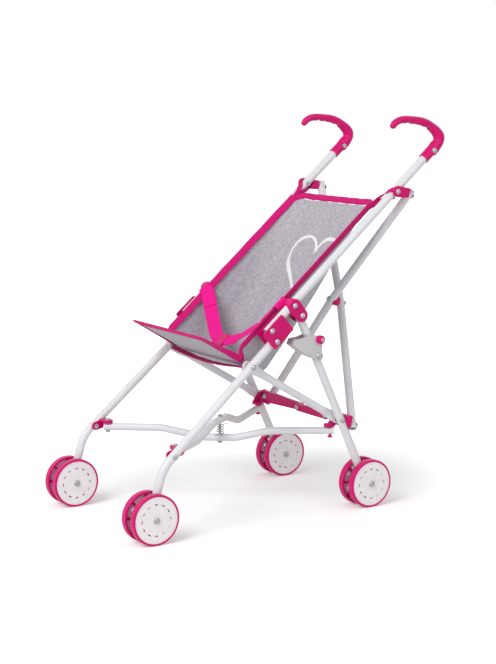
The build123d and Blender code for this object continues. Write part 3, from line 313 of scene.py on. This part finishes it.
def seat_point(u, s):
    """Point of the sling at u (-1 to 1 across) and s (0 top edge, 1 front lip).

    Each side-view line lies between the edge line and the middle line; its share of the
    middle line is 1 - |u|^8, which gives the flat back its steep side walls."""
    deep = 1 - np.abs(u) ** SEAT_WALL_POWER
    edge = follow(s, SHARE, EDGE_LINE)
    middle = follow(s, SHARE, MIDDLE_LINE)
    return np.concatenate([(u * SEAT_HALF)[..., None], edge + deep[..., None] * (middle - edge)], axis=-1)


def top_edge(u):
    """Share s at which the cloth starts: 0 along the top, with a parabola that rounds off both corners."""
    return CORNER_DROP * np.clip((np.abs(u) - CORNER_FROM) / (1 - CORNER_FROM), 0, 1) ** 2


def seat_folds(u, s):
    """Height of the slack in the cloth: two sines across the back, a wide and a fine one, that lean
    down it and fade at its ends, and a sine of drag folds inside a bell curve at the crease."""
    inside = 1 - np.abs(u) ** 6
    back = np.clip(s / SEAT_BACK_SHARE, 0, 1)
    wide = WIDE_FOLD * np.sin(8.5 * u + 1.8 * back + 0.6)
    fine = FINE_FOLD * np.sin(19.0 * u - 2.4 * back)
    crease = np.exp(-((s - DRAG_AT) / DRAG_REACH) ** 2)
    drag = DRAG_FOLD * np.sin(13.0 * np.abs(u) + 24.0 * s) * crease
    return inside * ((wide + fine) * np.sin(math.pi * back) ** 0.7 + drag)


def make_sling():
    """Hammock cloth on a grid of u and s, with its slack folds added square to the back.

    u is the sine of even steps, so the steep side walls get more columns. The UVs are lengths
    along the cloth. Gives the piece, the width and length it is cut from, and its area."""
    columns = np.sin(np.linspace(-1, 1, CLOTH_COLS) * math.pi / 2)
    u, s = np.meshgrid(columns, np.linspace(CLOTH_FROM, CLOTH_TO, CLOTH_ROWS))
    s = s + top_edge(u) * (1 - s)
    points = seat_point(u, s)
    points[..., 1:] += seat_folds(u, s)[..., None] * BACK
    across = np.linalg.norm(np.diff(points, axis=1), axis=-1)
    down = np.linalg.norm(np.diff(points, axis=0), axis=-1)
    middle = CLOTH_COLS // 2
    from_left = np.concatenate([np.zeros((len(points), 1)), np.cumsum(across, axis=1)], axis=1)
    from_left -= from_left[:, middle:middle + 1]
    from_top = np.concatenate([[0], np.cumsum(down[:, middle])])
    uv = np.stack(np.broadcast_arrays(from_left, from_top[:, None]), axis=-1)
    piece = grid_piece("seat_cloth", points, uv)
    wall = piece.modifiers.new("cloth thickness", "SOLIDIFY")
    wall.thickness = CLOTH_T
    wall.offset = 0
    cell = np.cross(np.diff(points, axis=0)[:, :-1], np.diff(points, axis=1)[:-1])
    cut = (float(across.sum(axis=1).max()), float(down.sum(axis=0).max()))
    return piece, cut, float(np.linalg.norm(cell, axis=-1).sum())


def make_heart():
    """Printed heart outline on the back panel.

    Across it is 16 sin^3 t, down it is 13 cos t - 5 cos 2t - 2 cos 3t - cos 4t, both scaled;
    the stroke's width swells and thins along it by a sine, and it lies just above the cloth."""
    t = np.linspace(0.0, 2 * math.pi, 361)[:-1]
    x = HEART_CENTRE[0] + 16 * HEART_SCALE * np.sin(t) ** 3
    rise = 13 * np.cos(t) - 5 * np.cos(2 * t) - 2 * np.cos(3 * t) - np.cos(4 * t)
    line = np.column_stack([x, HEART_CENTRE[1] - HEART_SCALE * rise])
    ahead = np.roll(line, -1, axis=0) - np.roll(line, 1, axis=0)
    ahead /= np.linalg.norm(ahead, axis=1, keepdims=True) + TINY
    square = np.stack([-ahead[:, 1], ahead[:, 0]], axis=1)
    half = (HEART_STROKE + HEART_SWELL * np.sin(3 * t + 0.5))[:, None]
    lanes = np.linspace(-1, 1, 5)
    flat = line[:, None] + square[:, None] * (half * lanes)[..., None]
    u = flat[..., 0] / SEAT_HALF
    s = np.interp(flat[..., 1], run_length(MIDDLE_LINE), SHARE)
    points = seat_point(u, s)
    points[..., 1:] += (seat_folds(u, s) - HEART_LIFT)[..., None] * BACK
    return grid_piece("heart_print", points, close_rows=True)


# Hems, straps, tabs, band and buckle


def make_stitches(name, path, across, offset, lift):
    """Sewn thread on a band: short raised dashes in a row on both faces.

    Each dash is a low dome whose height is the root of cos times cos."""
    side, face = band_frame(path, across)
    run = run_length(path)
    at = np.arange(STITCH_PITCH, run[-1] - STITCH_PITCH, STITCH_PITCH)
    spot, out, up = (follow(at, run, values) for values in (path + side * offset, side, face))
    ahead = np.cross(out, up)
    a, b = np.meshgrid(np.linspace(-1, 1, 7), np.linspace(-1, 1, 5), indexing="ij")
    dome = np.cos(a * math.pi / 2) ** 0.5 * np.cos(b * math.pi / 2) ** 0.5
    spot, out, up, ahead = (values[:, None, None] for values in (spot, out, up, ahead))
    dash = ahead * (a * STITCH_L / 2)[..., None] + out * (b * STITCH_W / 2)[..., None]
    bulge = up * (lift + STITCH_W / 2 * dome)[..., None]
    front = spot + dash + bulge
    behind = spot - dash - bulge
    return many_grids(name, np.concatenate([front[:, ::-1], behind]))


def hem_ribbon(name, path, across, width, thick):
    """Binding tape folded over an edge, and its row of stitches near the inner edge.

    Two small sines along the tape let the fold wander as sewn tape does."""
    run = np.linspace(0, 1, len(path))
    wander = HEM_WAVE * np.sin(run * 41.0) + 0.5 * HEM_WAVE * np.sin(run * 97.0 + 1.0)
    path = path + across * wander[:, None]
    tape = ribbon(name, path, across, width, thick)
    return tape, make_stitches(name + "_stitches", path, across, STITCH_IN * width, thick / 2 - STITCH_SINK)


def make_side_hem(side, name, lean):
    """One flap of the tape folded over a side edge, from the top corner past the side crease to the lip.

    The flap leans inwards by the given angle along the tube. From the crease to the lip it lies
    down with the cloth, by the share of the way to the power 0.6."""
    corners = [upper(SIDE_HEM_TOP_AT, HEM_ACROSS), upper(HEM_LOW_AT, HEM_ACROSS), SEAT_SIDE_CREASE, SEAT_LIP]
    line = through(corners, count=220, passes=10)
    ahead = unit(np.gradient(line, axis=0))
    front = np.column_stack([np.zeros(len(line)), ahead[:, 1], -ahead[:, 0]])
    forward = np.clip((SEAT_SIDE_CREASE[0] - line[:, 0]) / (SEAT_SIDE_CREASE[0] - SEAT_LIP[0]), 0, 1)
    lying = np.where(line[:, 1] < TUBE_FOOT[1], forward, 0)[:, None] ** 0.6
    turn = lean + (FLAT_LEAN - lean) * lying
    across = -front * np.cos(turn) - side * X_AXIS * np.sin(turn)
    edge = np.column_stack([np.full(len(line), side * SIDE_HEM_X), line])
    edge = edge + front * (SIDE_HEM_LIFT * (1 - lying) + SIDE_HEM_LIFT_LIP)
    return hem_ribbon(name, edge + across * SIDE_HEM_W / 2, across, SIDE_HEM_W, SIDE_HEM_T)


def make_end_hem(name, s_edge, s_in, inward):
    """Tape along the top edge or the front lip, from side hem to side hem.

    It follows the sling at s_edge, faces s_in, and its middle sits inward of the edge."""
    u = np.linspace(-END_HEM_REACH, END_HEM_REACH, 120)
    drop = top_edge(u) * (1 - s_edge)
    edge = seat_point(u, s_edge + drop)
    across = unit(seat_point(u, s_in + drop) - edge)
    return hem_ribbon(name, edge + across * inward, across, HEM_W, HEM_T)


def make_lap_strap(side, name):
    """Webbing looped over a side hem and led to the buckle, through knots with rounded corners.

    Its end, a stretch of the same path moved off it, is turned back and sewn down."""
    path = through(on_side(side, STRAP_KNOTS), count=420, passes=6)
    across = np.tile(TUBE_UP, (len(path), 1))
    run = run_length(path)
    end = path[(run > STRAP_END[0]) & (run < STRAP_END[1])] - STRAP_END_LIFT * TUBE_BACK
    return (
        ribbon(name, path, across, STRAP_W, STRAP_T),
        ribbon(name + "_end", end, across[:len(end)], STRAP_END_W, STRAP_T),
    )


def make_crotch_strap():
    """Webbing from the buckle forward to the lip, through a middle point that hangs a little lower."""
    middle = (CROTCH_START + CROTCH_FOOT) / 2 - CROTCH_SLACK
    points = [(0.0, *point) for point in (CROTCH_START, middle, CROTCH_FOOT)]
    path = through(points, count=60, passes=20)
    return ribbon("crotch_strap", path, np.tile(X_AXIS, (len(path), 1)), STRAP_W, STRAP_T)


def make_support_band():
    """Band under the seat between the front bolts of the side links; its sag is a parabola."""
    x = np.linspace(-BAND_HALF, BAND_HALF, 90)
    sag = BAND_SAG * (1 - (x / BAND_HALF) ** 2)
    path = np.column_stack([x, np.full(len(x), LINK_FRONT[0]), LINK_FRONT[1] - STRAP_T - sag])
    return ribbon("support_band", path, np.tile(Y_AXIS, (len(path), 1)), BAND_W, STRAP_T)


def make_top_tab(side, name, knots):
    """Strap from the top corner of the seat along its tube to the bracket, through the given knots.

    Its face is turned along the tube's radius, so the strap lies on the tube where it passes it."""
    path = through(on_side(side, knots), count=70, passes=10)
    radial = path - np.array([side * TUBE_X, *TUBE_FOOT])
    radial -= (radial @ TUBE_UP)[:, None] * TUBE_UP
    return ribbon(name, path, np.cross(np.gradient(path, axis=0), radial), TAB_W, STRAP_T)


def make_buckle():
    """Moulded buckle: a superellipsoid, cos and sin of both angles each to the power 0.35.

    A groove with a bell-curve profile pinches it along its middle."""
    latitude = np.linspace(-math.pi / 2, math.pi / 2, 40)
    lat, lon = np.meshgrid(latitude, np.linspace(0, 2 * math.pi, 72, endpoint=False))
    ring = rounded(np.cos(lat), BUCKLE_ROUND)
    a = ring * rounded(np.cos(lon), BUCKLE_ROUND) * BUCKLE_HALF[0]
    b = ring * rounded(np.sin(lon), BUCKLE_ROUND) * BUCKLE_HALF[1]
    c = rounded(np.sin(lat), BUCKLE_ROUND) * BUCKLE_HALF[2]
    c *= 1 - BUCKLE_GROOVE_DEPTH * np.exp(-(b / BUCKLE_GROOVE_W) ** 2)
    centre = np.array([0.0, *upper(*BUCKLE_AT)])
    points = centre + a[..., None] * X_AXIS + b[..., None] * TUBE_UP - c[..., None] * TUBE_BACK
    return grid_piece("harness_buckle", points.transpose(1, 0, 2), close_cols=True, capped=True)


def make_screw_faces(name, side, heads):
    """Domed screw faces with a cross recess, for heads given as X and a side-view point.

    A square grid is drawn out to a disc; the height is a parabola less a cross of smooth grooves."""
    a, b = np.meshgrid(np.linspace(-1, 1, 27), np.linspace(-1, 1, 27), indexing="ij")
    x, y = a * np.sqrt(1 - b ** 2 / 2) * SCREW_R, b * np.sqrt(1 - a ** 2 / 2) * SCREW_R
    reach = np.hypot(x, y) / SCREW_R
    arm = np.exp(-(x / SCREW_SLOT) ** 4) + np.exp(-(y / SCREW_SLOT) ** 4)
    groove = np.clip(arm, 0, 1) * np.exp(-(reach / SCREW_SLOT_REACH) ** 8)
    height = SCREW_RISE * (1 - reach ** 2) - SCREW_SLOT_DEPTH * SCREW_RISE * groove
    cos, sin = SCREW_TURN
    flat = np.stack([side * height, x * cos - y * sin, x * sin + y * cos], axis=-1)
    centres = np.array([(side * head_x, *point) for head_x, point in heads])
    grids = centres[:, None, None] + flat
    return many_grids(name, grids[:, ::-1] if side > 0 else grids)


# Materials


def new_material(name, sockets):
    """Material with the given values on its shader's sockets; gives it with its nodes, links and shader."""
    mat = bpy.data.materials.new(name)
    mat.use_nodes = True
    nodes = mat.node_tree.nodes
    shader = nodes["Principled BSDF"]
    for socket, value in sockets.items():
        shader.inputs[socket].default_value = value
    return mat, nodes, mat.node_tree.links, shader


def noise(nodes, links, vector, scale, detail, rough=0.55):
    """Value of a noise over the given coordinates."""
    node = nodes.new("ShaderNodeTexNoise")
    node.inputs["Scale"].default_value = scale
    node.inputs["Detail"].default_value = detail
    node.inputs["Roughness"].default_value = rough
    links.new(vector, node.inputs["Vector"])
    return node.outputs["Fac"]


def ramp(nodes, links, value, stops):
    """Colour that runs through the stops, each a place and a colour, as the value rises."""
    node = nodes.new("ShaderNodeValToRGB")
    ends = node.color_ramp.elements
    for end, (at, colour) in zip((ends[0], ends[1]), (stops[0], stops[-1])):
        end.position, end.color = at, (*colour, 1)
    for at, colour in stops[1:-1]:
        ends.new(at).color = (*colour, 1)
    links.new(value, node.inputs["Fac"])
    return node.outputs["Color"]


def bump(nodes, links, height, shader, strength, distance):
    """Bump on the shader from a height value."""
    node = nodes.new("ShaderNodeBump")
    node.inputs["Strength"].default_value = strength
    node.inputs["Distance"].default_value = distance
    links.new(height, node.inputs["Height"])
    links.new(node.outputs["Normal"], shader.inputs["Normal"])


def stretched(nodes, links, vector, scale):
    """Coordinates drawn out by a scale for each axis."""
    node = nodes.new("ShaderNodeMapping")
    node.inputs["Scale"].default_value = scale
    links.new(vector, node.inputs["Vector"])
    return node.outputs["Vector"]


def maths(nodes, links, operation, first, second):
    """Sum, product or larger of two values; the second may be a plain number."""
    node = nodes.new("ShaderNodeMath")
    node.operation = operation
    links.new(first, node.inputs[0])
    if isinstance(second, float):
        node.inputs[1].default_value = second
    else:
        links.new(second, node.inputs[1])
    return node.outputs[0]


def grained(name, grain, stops, sockets):
    """Material whose colour is a ramp over a noise on object coordinates; grain is scale, detail and roughness.

    Gives the material, its nodes, links and shader, the coordinates and the noise."""
    mat, nodes, links, shader = new_material(name, sockets)
    where = nodes.new("ShaderNodeTexCoord").outputs["Object"]
    tone = noise(nodes, links, where, *grain)
    links.new(ramp(nodes, links, tone, stops), shader.inputs["Base Color"])
    return mat, nodes, links, shader, where, tone


def moulded(name, grain, low, high, skin, strength, distance, sockets):
    """Moulded plastic or paint: a faint cloudy change of colour, and a bump from a finer skin noise."""
    mat, nodes, links, shader, where, _ = grained(name, grain, [(0.3, low), (0.7, high)], sockets)
    bump(nodes, links, noise(nodes, links, where, *skin), shader, strength, distance)
    return mat


def moulded_magenta():
    """Glossy moulded plastic with a very fine skin."""
    return moulded(
        "moulded_magenta", (38.0, 2.0), (0.600, 0.001, 0.140), (0.680, 0.003, 0.170),
        skin=(1500.0, 2.0), strength=0.02, distance=0.0001,
        sockets={"Roughness": 0.30, "Specular IOR Level": 0.22})


def powder_coat():
    """White powder coat on steel: fine orange-peel bumps and a cool, slightly uneven white."""
    return moulded(
        "white_powder_coat", (25.0, 3.0), (0.70, 0.705, 0.73), (0.745, 0.75, 0.775),
        skin=(420.0, 1.0), strength=0.05, distance=0.0002, sockets={"Roughness": 0.36})


def white_plastic(name, low, high, rough, light_through=0.0):
    """Satin white plastic with a little unevenness; thin walls can let light through."""
    return moulded(
        name, (60.0, 4.0), low, high, skin=(1200.0, 2.0), strength=0.10, distance=0.0002,
        sockets={
            "Roughness": rough, "Subsurface Weight": light_through,
            "Subsurface Radius": (1.0, 0.7, 0.8), "Subsurface Scale": 0.006,
        })


def zinc_steel():
    """Zinc-plated steel: one scratch noise sets both its tone and its roughness."""
    tones = [(0.25, (0.36, 0.37, 0.38)), (0.75, (0.56, 0.57, 0.58))]
    mat, nodes, links, shader, _, scratch = grained("zinc_steel", (700.0, 5.0, 0.7), tones, {"Metallic": 1.0})
    dull = ramp(nodes, links, scratch, [(0.2, (0.22, 0.22, 0.22)), (0.8, (0.42, 0.42, 0.42))])
    links.new(dull, shader.inputs["Roughness"])
    return mat


def grey_melange():
    """Melange cloth on its own UVs: the mean of two noises drawn out both ways gives light and dark
    yarn flecks and the weave's bump, and long faint streaks run over them."""
    mat, nodes, links, shader = new_material("grey_melange_cloth", {"Roughness": 0.88, "Sheen Weight": 0.12})
    uv = nodes.new("ShaderNodeUVMap")
    uv.uv_map = CLOTH_UV
    lengths = uv.outputs["UV"]
    warp, weft = (
        noise(nodes, links, stretched(nodes, links, lengths, scale), scale=1.0, detail=2.0, rough=0.6)
        for scale in ((130.0, 620.0, 1.0), (620.0, 130.0, 1.0)))
    yarn = maths(nodes, links, "MULTIPLY", maths(nodes, links, "ADD", warp, weft), 0.5)
    fleck = ramp(nodes, links, yarn, [
        (0.34, (0.34, 0.315, 0.36)), (0.5, (0.47, 0.445, 0.495)), (0.66, (0.65, 0.62, 0.67))])
    drawn_out = stretched(nodes, links, lengths, (95.0, 9.0, 1.0))
    streak = noise(nodes, links, drawn_out, scale=1.0, detail=3.0, rough=0.6)
    wash = nodes.new("ShaderNodeMix")
    wash.data_type = "RGBA"
    wash.blend_type = "MULTIPLY"
    wash.inputs["Factor"].default_value = 1.0
    links.new(fleck, wash.inputs["A"])
    shade = ramp(nodes, links, streak, [(0.3, (0.90, 0.90, 0.90)), (0.7, (1.0, 1.0, 1.0))])
    links.new(shade, wash.inputs["B"])
    links.new(wash.outputs["Result"], shader.inputs["Base Color"])
    bump(nodes, links, yarn, shader, strength=0.30, distance=0.0005)
    return mat


def woven_tape(name, low, high):
    """Woven tape: yarn noise for its colour and fine wavy ribs for its bump."""
    mat, nodes, links, shader, where, _ = grained(
        name, (900.0, 3.0, 0.65), [(0.3, low), (0.7, high)],
        {"Roughness": 0.75, "Sheen Weight": 0.06, "Specular IOR Level": 0.2})
    ribs = nodes.new("ShaderNodeTexWave")
    ribs.inputs["Scale"].default_value = 260.0
    ribs.inputs["Distortion"].default_value = 1.5
    links.new(where, ribs.inputs["Vector"])
    bump(nodes, links, ribs.outputs["Fac"], shader, strength=0.25, distance=0.0003)
    return mat


def print_white():
    """Screen print: a chalky white, with one noise for its worn spots and its bump."""
    tones = [(0.25, (0.66, 0.65, 0.67)), (0.5, (0.86, 0.86, 0.87))]
    mat, nodes, links, shader, _, worn = grained("print_white", (900.0, 4.0, 0.7), tones, {"Roughness": 0.8})
    bump(nodes, links, worn, shader, strength=0.15, distance=0.0003)
    return mat


finish = {
    "magenta_plastic": moulded_magenta(),
    "tube_white": powder_coat(),
    "fastener_steel": zinc_steel(),
    "wheel_cap_white": white_plastic(
        "cap_white", (0.89, 0.83, 0.86), (0.95, 0.90, 0.93), rough=0.42, light_through=0.25),
    "catch_white": white_plastic("catch_white", (0.55, 0.54, 0.56), (0.60, 0.59, 0.61), rough=0.45),
    "sling_fabric": grey_melange(),
    "binding_fabric": woven_tape("magenta_tape", (0.55, 0.002, 0.150), (0.67, 0.005, 0.195)),
}
finish["spring_steel"] = finish["fastener_steel"]
webbing = woven_tape("magenta_webbing", (0.80, 0.003, 0.255), (0.92, 0.006, 0.315))

slot_of = {part["node"]: part["material_slot"] for part in frame["record"]["subparts"]}
for node, obj in frame["nodes"].items():
    obj.data.materials.clear()
    obj.data.materials.append(finish[slot_of[node]])


# The new pieces in place


def dress(piece, slot, body="left_frame", folds=False, look=None):
    """Give a new piece its finish and its body; soft pieces between the sides get a mesh of their own."""
    piece.data.materials.append(look or finish[slot])
    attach(piece, body)
    if folds:
        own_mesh(piece)
    return piece


def dress_tape(pieces, **how):
    """Dress the pieces of a hem or strap in the binding's slot."""
    return [dress(piece, "binding_fabric", **how) for piece in pieces]


cloth, cloth_cut, cloth_area = make_sling()
dress(cloth, "sling_fabric", folds=True)
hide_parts("seat_sling")
heart = dress(make_heart(), "sling_fabric", folds=True, look=print_white())
top_hem, top_stitches = dress_tape(make_end_hem("top_hem", 0.0, 0.03, inward=-0.0012), folds=True)
lip_hem, lip_stitches = dress_tape(make_end_hem("lip_hem", 1.0, 0.97, inward=0.0040), folds=True)
for side, side_name in ((1, "left"), (-1, "right")):
    side_body = f"{side_name}_frame"
    for flap, lean in (("side_hem", OUTER_LEAN), ("side_hem_inside", INNER_LEAN)):
        dress_tape(make_side_hem(side, f"{side_name}_{flap}", lean), body=side_body)
    for carrier, heads in SCREWS.items():
        body = f"{side_name}_{carrier}"
        dress(make_screw_faces(f"{body}_screw_faces", side, heads), "fastener_steel", body)
    for tab, knots in (("top_tab", TAB_FRONT), ("top_tab_inside", TAB_INSIDE)):
        dress(make_top_tab(side, f"{side_name}_{tab}", knots), "binding_fabric", side_body)
    dress_tape(make_lap_strap(side, f"{side_name}_lap_strap"), folds=True, look=webbing)
dress(make_crotch_strap(), "binding_fabric", folds=True, look=webbing)
dress(make_support_band(), "binding_fabric", folds=True)
dress(make_buckle(), "magenta_plastic", folds=True)
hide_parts("seat_binding")


# Stage, light and camera


def make_floor():
    """Pale floor that glows for the camera and keeps the object's shadow.

    The glow rises from near to far with the distance from the middle, on a smooth step, so that
    the shadows at the wheels show and the floor's far edge goes white."""
    corners = [(-FLOOR_HALF, -FLOOR_HALF, 0), (FLOOR_HALF, -FLOOR_HALF, 0)]
    corners += [(FLOOR_HALF, FLOOR_HALF, 0), (-FLOOR_HALF, FLOOR_HALF, 0)]
    mesh = bpy.data.meshes.new("floor")
    mesh.from_pydata(corners, [], [(0, 1, 2, 3)])
    floor = bpy.data.objects.new("floor", mesh)
    bpy.context.scene.collection.objects.link(floor)
    mat, nodes, links, shader = new_material("pale_floor", {"Base Color": FLOOR_TONE, "Roughness": 0.9})
    reach = nodes.new("ShaderNodeVectorMath")
    reach.operation = "LENGTH"
    links.new(nodes.new("ShaderNodeTexCoord").outputs["Object"], reach.inputs[0])
    spread = nodes.new("ShaderNodeMapRange")
    spread.interpolation_type = "SMOOTHSTEP"
    spread.inputs["From Min"].default_value = GLOW_FROM
    spread.inputs["From Max"].default_value = GLOW_TO
    spread.inputs["To Min"].default_value = GLOW_NEAR
    spread.inputs["To Max"].default_value = GLOW_FAR
    links.new(reach.outputs["Value"], spread.inputs["Value"])
    glow = nodes.new("ShaderNodeEmission")
    links.new(spread.outputs["Result"], glow.inputs["Strength"])
    lit = nodes.new("ShaderNodeAddShader")
    links.new(shader.outputs[0], lit.inputs[0])
    links.new(glow.outputs[0], lit.inputs[1])
    pick = nodes.new("ShaderNodeMixShader")
    links.new(nodes.new("ShaderNodeLightPath").outputs["Is Camera Ray"], pick.inputs["Fac"])
    links.new(shader.outputs[0], pick.inputs[1])
    links.new(lit.outputs[0], pick.inputs[2])
    links.new(pick.outputs[0], nodes["Material Output"].inputs["Surface"])
    mesh.materials.append(mat)


def make_world():
    """Soft white light from all round, which camera and glossy rays see as full white."""
    world = bpy.data.worlds.new("studio")
    bpy.context.scene.world = world
    world.use_nodes = True
    nodes, links = world.node_tree.nodes, world.node_tree.links
    light, seen = nodes["Background"], nodes.new("ShaderNodeBackground")
    for shade, strength in ((light, WORLD_LIGHT), (seen, 1.0)):
        shade.inputs["Color"].default_value = WHITE
        shade.inputs["Strength"].default_value = strength
    rays = nodes.new("ShaderNodeLightPath").outputs
    pick = nodes.new("ShaderNodeMixShader")
    links.new(maths(nodes, links, "MAXIMUM", rays["Is Camera Ray"], rays["Is Glossy Ray"]), pick.inputs["Fac"])
    links.new(light.outputs[0], pick.inputs[1])
    links.new(seen.outputs[0], pick.inputs[2])
    links.new(pick.outputs[0], nodes["World Output"].inputs["Surface"])


def aim(obj, place, target):
    """Put a lamp or camera in its place and turn its view axis to the target, upright."""
    obj.location = place
    obj.rotation_euler = (Vector(target) - Vector(place)).to_track_quat("-Z", "Y").to_euler()
    bpy.context.scene.collection.objects.link(obj)


def area_lamp(name, place, size, power):
    """Square soft lamp, its side in metres and its power in watts, aimed at the seat."""
    lamp = bpy.data.lights.new(name, "AREA")
    lamp.size = size
    lamp.energy = power
    aim(bpy.data.objects.new(name, lamp), place, LAMP_TARGET)


def make_camera():
    """Camera at the photo's place: 2.3 m away, turned 57.7 degrees to the left side, 8.8 degrees up."""
    lens = bpy.data.cameras.new("camera")
    lens.sensor_fit = "VERTICAL"
    lens.sensor_height = SENSOR_MM
    lens.lens = LENS_MM
    camera = bpy.data.objects.new("camera", lens)
    aim(camera, CAMERA_PLACE, CAMERA_TARGET)
    bpy.context.scene.camera = camera


make_floor()
make_world()
area_lamp("key", (0.9, -2.2, 2.2), size=1.4, power=52)
area_lamp("fill", (2.6, 0.6, 1.6), size=1.8, power=12)
make_camera()
bpy.context.scene.view_settings.view_transform = "Standard"
